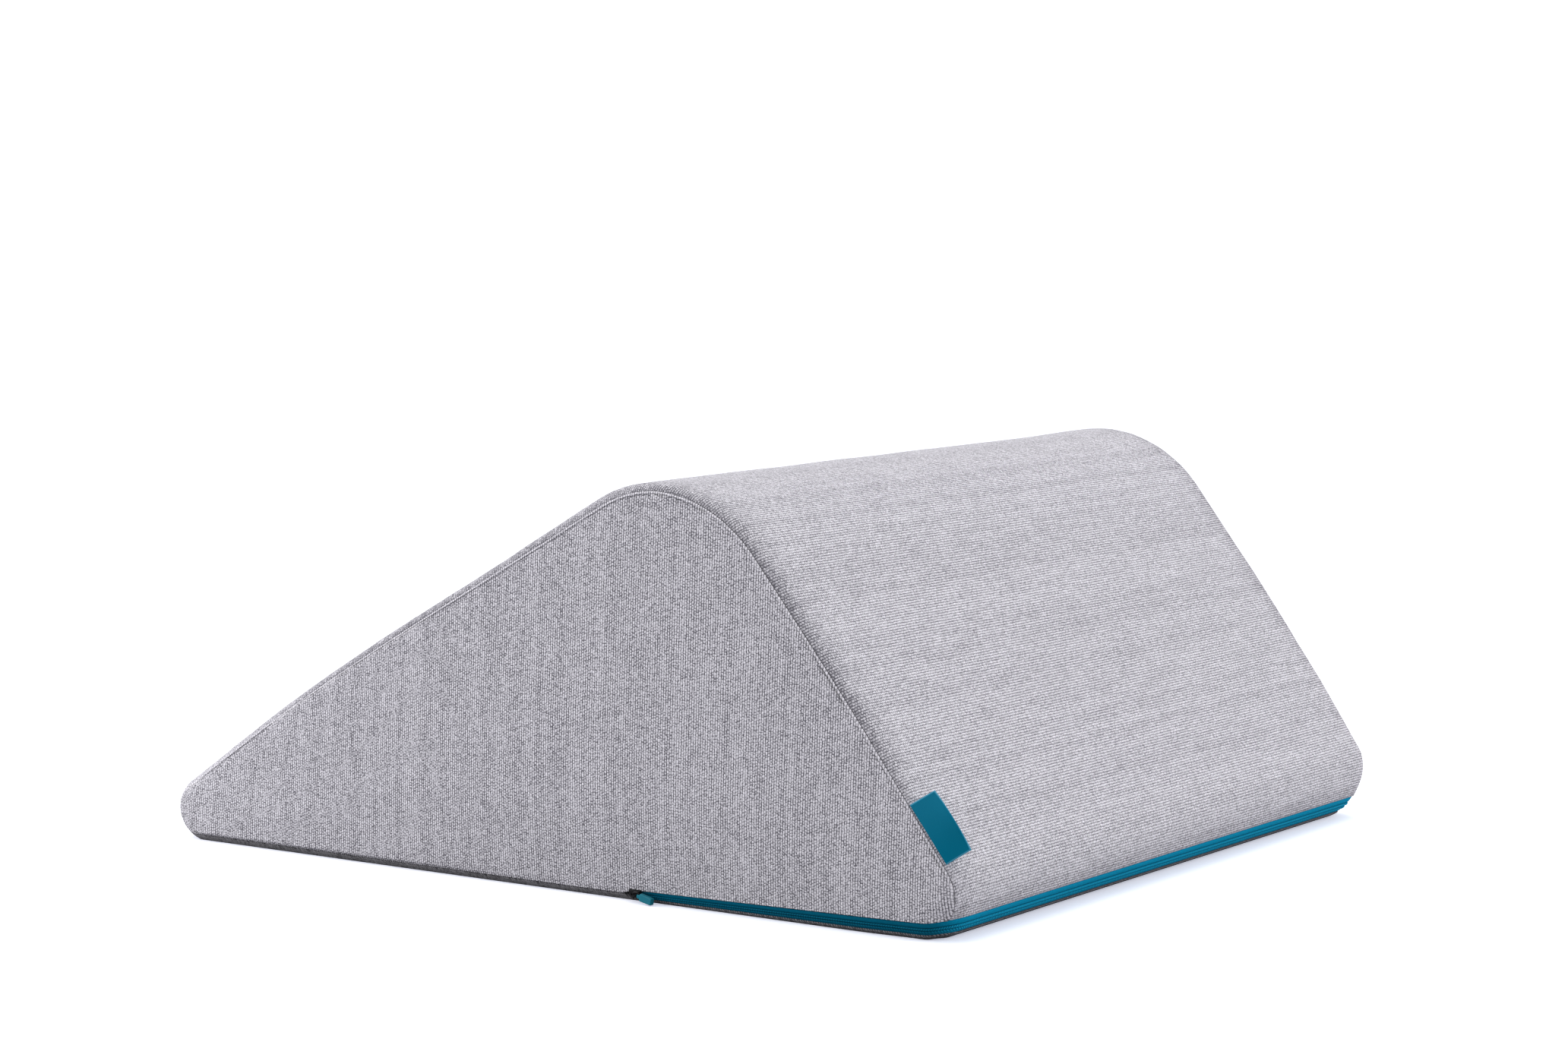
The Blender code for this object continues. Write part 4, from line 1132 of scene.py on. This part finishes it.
def hard_material(name, colour, roughness, coat, specular):
    """Moulded plastic or enamel, a little uneven in gloss."""
    material, bench, shader = start_material(name, roughness)
    place = bench.add("ShaderNodeTexCoord").outputs["Object"]
    cloud = bench.cloud(place, MOULDING_FINENESS, 3.0, 0.6)
    worn = bench.ramp(cloud, 0.45, 0.75, 0.0, 0.5)
    bench.join(bench.mix(worn, opaque(colour), opaque(colour, 1.35, 0.001)), shader.inputs["Base Color"])
    bench.join(bench.ramp(cloud, 0.3, 0.7, roughness - 0.08, roughness + 0.08), shader.inputs["Roughness"])
    shader.inputs["Specular IOR Level"].default_value = specular
    shader.inputs["Coat Weight"].default_value = coat
    add_relief(bench, shader, cloud, MOULDING_RELIEF, 0.5)
    return material


def carried_over(node, material):
    """Gives a CAD node its finish."""
    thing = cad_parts[node]
    thing.data.materials.clear()
    thing.data.materials.append(material)


class BOLSTER_OT_slider(bpy.types.Operator):
    """The slider, its link and the moulded pull at the near end of the zip"""

    bl_idname = "bolster.slider"
    bl_label = "Slider and pull"

    def execute(self, context):
        enamel = hard_material("Black enamel", ENAMEL_BLACK, roughness=0.45, coat=0.0, specular=0.25)
        carried_over("zip_slider", enamel)
        carried_over("zip_link", enamel)
        teal = context.scene.bolster_colours.pull
        carried_over("zip_pull", hard_material("Teal moulding", teal, roughness=0.5, coat=0.05, specular=0.2))
        return {"FINISHED"}


# The label, folded double: its length along the seam, its width to the fold, a layer and the gap inside
LABEL_LENGTH = 39.4 * MM
LABEL_WIDTH = 18.2 * MM
LABEL_LAYER = 0.55 * MM
LABEL_GAP = 0.35 * MM
# Where the label's middle lies, as a share of the way down the front slope, and how far it leans off it
LABEL_MIDDLE = 0.899
LABEL_LEAN = math.radians(26)
# How far it starts above the seam, and how far it is shifted off the wrap
LABEL_CLEARANCE = 1.5 * MM
LABEL_SHIFT = 0.9 * MM
# How far its free edge bows, and how much of that it curls and bends off the wrap
LABEL_BOW = 1.0 * MM
LABEL_CURL = 1.2
LABEL_BEND = 0.5
LABEL_STEPS_ALONG = 40
LABEL_STEPS_UP = 20
FOLD_TURN = math.radians(15)
# Its threads, and the painted highlight along its cut edges and its fold
THREAD_PITCH = 0.4 * MM
THREAD_SLANT = 0.35
THREAD_RELIEF = 0.08 * MM
FOLD_HIGHLIGHT_DROP = 0.8 * MM
EDGE_HIGHLIGHT_COLOUR = (0.12, 0.42, 0.6)


def label_outline():
    """The folded label's section, (across, up): round its outside, and back round the gap inside it."""
    half, gap = LABEL_GAP / 2 + LABEL_LAYER, LABEL_GAP / 2
    fold = LABEL_WIDTH - half
    turns = [i * FOLD_TURN - math.pi / 2 for i in range(1, round(math.pi / FOLD_TURN))]

    def layer(side):
        return [(side, blend(LABEL_CLEARANCE, fold, i / LABEL_STEPS_UP)) for i in range(LABEL_STEPS_UP + 1)]

    def turn(radius):
        return [(radius * math.sin(a), fold + radius * math.cos(a)) for a in turns]

    return layer(-half) + turn(half) + layer(half)[::-1] + layer(gap) + turn(gap)[::-1] + layer(-gap)[::-1]


def label_rings():
    """The folded label's sections along the seam, with each point's marks: along, and round the fold."""
    inset = Spot("front_slope", LABEL_MIDDLE).rounding["seam"]
    shares = (0, LABEL_MIDDLE, 1)
    top, seam, bottom = [skin_point(Spot("front_slope", share), -1, inset, 0) for share in shares]
    along = (bottom - top).normalized()
    slope = facing(FRONT_FACING)
    rise = math.cos(LABEL_LEAN)
    out = Vector((math.sin(LABEL_LEAN), slope.x * rise, slope.y * rise))
    off_wrap = along.cross(out).normalized()
    outline = label_outline()
    rings, marks = [], []
    for i in range(LABEL_STEPS_ALONG + 1):
        share = i / LABEL_STEPS_ALONG
        middle = seam + along * LABEL_LENGTH * (share - 0.5) + off_wrap * LABEL_SHIFT
        bow = LABEL_BOW * (math.sin(math.pi * share) - 0.5)
        ring = []
        for across, up in outline:
            free = (up / LABEL_WIDTH) ** 2
            curl = LABEL_BOW * free * (LABEL_CURL * math.cos(2 * math.pi * share) + LABEL_BEND)
            ring.append(middle + off_wrap * (across - curl) + out * (up + bow * free))
        rings.append(ring)
        around = [0.0]
        for first, second in zip(ring, ring[1:] + ring[:1]):
            around.append(around[-1] + (second - first).length)
        marks.append([(share * LABEL_LENGTH, distance) for distance in around])
    return rings, marks


def label_material():
    """Satin tape: fine threads across the label, with painted highlights on its cut edges and its fold, and
    painted light towards its upper end.
    """
    colour = bpy.context.scene.bolster_colours.label
    material, bench, shader = start_material("Label satin", 0.5)
    shader.inputs["Specular IOR Level"].default_value = 0.03
    place = bench.add("ShaderNodeUVMap", uv_map="cloth").outputs["UV"]
    along, around, _ = bench.split(place)
    threads = use_group(bench, coil_rows(), Cloth=place, Pitch=THREAD_PITCH, Slant=THREAD_SLANT)
    share = bench.math("DIVIDE", along, LABEL_LENGTH)
    # Painted highlight along the cut edges and the fold
    cut_edge_highlight = bench.ramp(bench.math("ABSOLUTE", bench.math("SUBTRACT", share, 0.5)), 0.478, 0.49)
    from_fold = bench.math("ABSOLUTE", bench.math("SUBTRACT", around, LABEL_WIDTH - FOLD_HIGHLIGHT_DROP))
    edge = bench.math("MAXIMUM", cut_edge_highlight, bench.ramp(from_fold, 0.9 * MM, 0.3 * MM))
    # Painted light: the label is made lighter towards its upper end
    high = bench.ramp(along, 0.0, LABEL_LENGTH, 1.0, 0.0)
    toned = bench.mix(bench.math("MULTIPLY", high, 0.6), opaque(colour), opaque(colour, 1.3, 0.01))
    toned = bench.mix(bench.math("MULTIPLY", threads["Groove"], 0.25), toned, opaque(colour, 0.5))
    bench.join(bench.mix(bench.math("MULTIPLY", edge, 0.55), toned, opaque(EDGE_HIGHLIGHT_COLOUR)),
               shader.inputs["Base Color"])
    add_relief(bench, shader, threads["Height"], THREAD_RELIEF)
    return material


class BOLSTER_OT_label(bpy.types.Operator):
    """The bare label in the near seam of the front slope: a tape folded double"""

    bl_idname = "bolster.label"
    bl_label = "Label"

    def execute(self, context):
        rings, marks = label_rings()
        label = make_grid("folded_label", rings, marks)
        finish_piece(label, label_material(), "label")
        return {"FINISHED"}


WHITE = (1, 1, 1, 1)
FLOOR_SIZE = 60
# What the camera alone sees of the floor and the sky, so that both come out as white as the photo's ground
FLOOR_SEEN = (0.95, 0.95, 0.96)
FLOOR_GLOW = (0.8, 0.84, 1)
SKY_SEEN = 1.2
# Each softbox: (its place, the point that it faces, its size, the setting that holds its power)
SOFTBOXES = {
    "front_softbox": ((1.2, -2.5, 1.1), (0.05, -0.2, 0.1), (2.2, 1.6), "front_box"),
    "left_softbox": ((-1.0, 1.2, 0.55), (-0.26, 0.1, 0.05), (1.0, 0.8), "left_box"),
    "top_softbox": ((0.3, 0.2, 2.6), (0.1, 0, 0.1), (2.4, 2.4), "top_box"),
}


def white_floor(settings):
    """A plain white floor. It glows for the camera, and throws back less light than it seems to."""
    bpy.ops.mesh.primitive_plane_add(size=FLOOR_SIZE, location=(0, 0, 0))
    floor = bpy.context.active_object
    floor.name = "floor"
    material, bench, shader = start_material("White floor", 0.9)
    seen = bench.add("ShaderNodeLightPath").outputs["Is Camera Ray"]
    bounce = opaque(settings.floor_bounce)
    bench.join(bench.mix(seen, bounce, opaque(FLOOR_SEEN)), shader.inputs["Base Color"])
    shader.inputs["Specular IOR Level"].default_value = 0.1
    shader.inputs["Emission Color"].default_value = opaque(FLOOR_GLOW)
    bench.join(bench.math("MULTIPLY", seen, settings.floor_glow), shader.inputs["Emission Strength"])
    floor.data.materials.append(material)


def even_sky(settings):
    """The same white light from all round, behind which the camera sees plain white."""
    world = bpy.data.worlds.new("Studio sky")
    bpy.context.scene.world = world
    world.use_nodes = True
    bench = NodeBench(world.node_tree)
    light = world.node_tree.nodes["Background"]
    seen = bench.add("ShaderNodeBackground")
    for background, strength in ((light, settings.sky), (seen, SKY_SEEN)):
        background.inputs["Color"].default_value = WHITE
        background.inputs["Strength"].default_value = strength
    either = bench.add("ShaderNodeMixShader")
    bench.join(bench.add("ShaderNodeLightPath").outputs["Is Camera Ray"], either.inputs[0])
    bench.join(light.outputs[0], either.inputs[1])
    bench.join(seen.outputs[0], either.inputs[2])
    bench.join(either.outputs[0], world.node_tree.nodes["World Output"].inputs["Surface"])


def softbox(name, place, target, size, power):
    """A rectangular area light that faces a point."""
    data = bpy.data.lights.new(name, "AREA")
    data.shape = "RECTANGLE"
    data.size, data.size_y = size
    data.energy = power
    lamp = bpy.data.objects.new(name, data)
    bpy.context.scene.collection.objects.link(lamp)
    lamp.location = place
    lamp.rotation_euler = (Vector(target) - Vector(place)).to_track_quat("-Z", "Y").to_euler()


def photo_camera(settings):
    """The camera at the photo's angle."""
    data = bpy.data.cameras.new("camera")
    data.lens = settings.lens
    data.sensor_width = SENSOR_WIDTH
    data.clip_end = CAMERA_SEES
    camera = bpy.data.objects.new("camera", data)
    bpy.context.scene.collection.objects.link(camera)
    camera.location = CAMERA_PLACE
    level = math.cos(CAMERA_PITCH)
    way = Vector((math.cos(CAMERA_YAW) * level, math.sin(CAMERA_YAW) * level, -math.sin(CAMERA_PITCH)))
    camera.rotation_euler = way.to_track_quat("-Z", "Y").to_euler()
    bpy.context.scene.camera = camera


class BOLSTER_OT_studio(bpy.types.Operator):
    """The white floor, the even sky, three softboxes and the camera"""

    bl_idname = "bolster.studio"
    bl_label = "Studio"

    def execute(self, context):
        settings = context.scene.bolster_studio
        white_floor(settings)
        even_sky(settings)
        for name, (place, target, size, power) in SOFTBOXES.items():
            softbox(name, place, target, size, getattr(settings, power))
        photo_camera(settings)
        context.scene.view_settings.view_transform = "Standard"
        return {"FINISHED"}


class BOLSTER_PT_panel(bpy.types.Panel):
    """Lists the steps that make the bolster"""

    bl_idname = "BOLSTER_PT_panel"
    bl_label = "Leg bolster"
    bl_space_type = "VIEW_3D"
    bl_region_type = "UI"
    bl_category = "Bolster"

    def draw(self, context):
        for group, name in GROUPS:
            for key in group.__annotations__:
                self.layout.prop(getattr(context.scene, name), key)
        for operator in OPERATORS:
            self.layout.operator(operator.bl_idname)


OPERATORS = (
    BOLSTER_OT_wrap,
    BOLSTER_OT_ends,
    BOLSTER_OT_base,
    BOLSTER_OT_zip,
    BOLSTER_OT_slider,
    BOLSTER_OT_label,
    BOLSTER_OT_studio,
)
GROUPS = (
    (CoverSizes, "bolster_sizes"),
    (CoverColours, "bolster_colours"),
    (StudioSettings, "bolster_studio"),
)


def register():
    for group, name in GROUPS:
        bpy.utils.register_class(group)
        setattr(bpy.types.Scene, name, PointerProperty(type=group))
    for operator in OPERATORS:
        bpy.utils.register_class(operator)
    bpy.utils.register_class(BOLSTER_PT_panel)


def unregister():
    bpy.utils.unregister_class(BOLSTER_PT_panel)
    for operator in reversed(OPERATORS):
        bpy.utils.unregister_class(operator)
    for group, name in reversed(GROUPS):
        delattr(bpy.types.Scene, name)
        bpy.utils.unregister_class(group)


def main():
    register()
    bpy.ops.bolster.wrap()
    bpy.ops.bolster.ends()
    bpy.ops.bolster.base()
    bpy.ops.bolster.zip()
    bpy.ops.bolster.slider()
    bpy.ops.bolster.label()
    bpy.ops.bolster.studio()


if __name__ == "__main__":
    main()
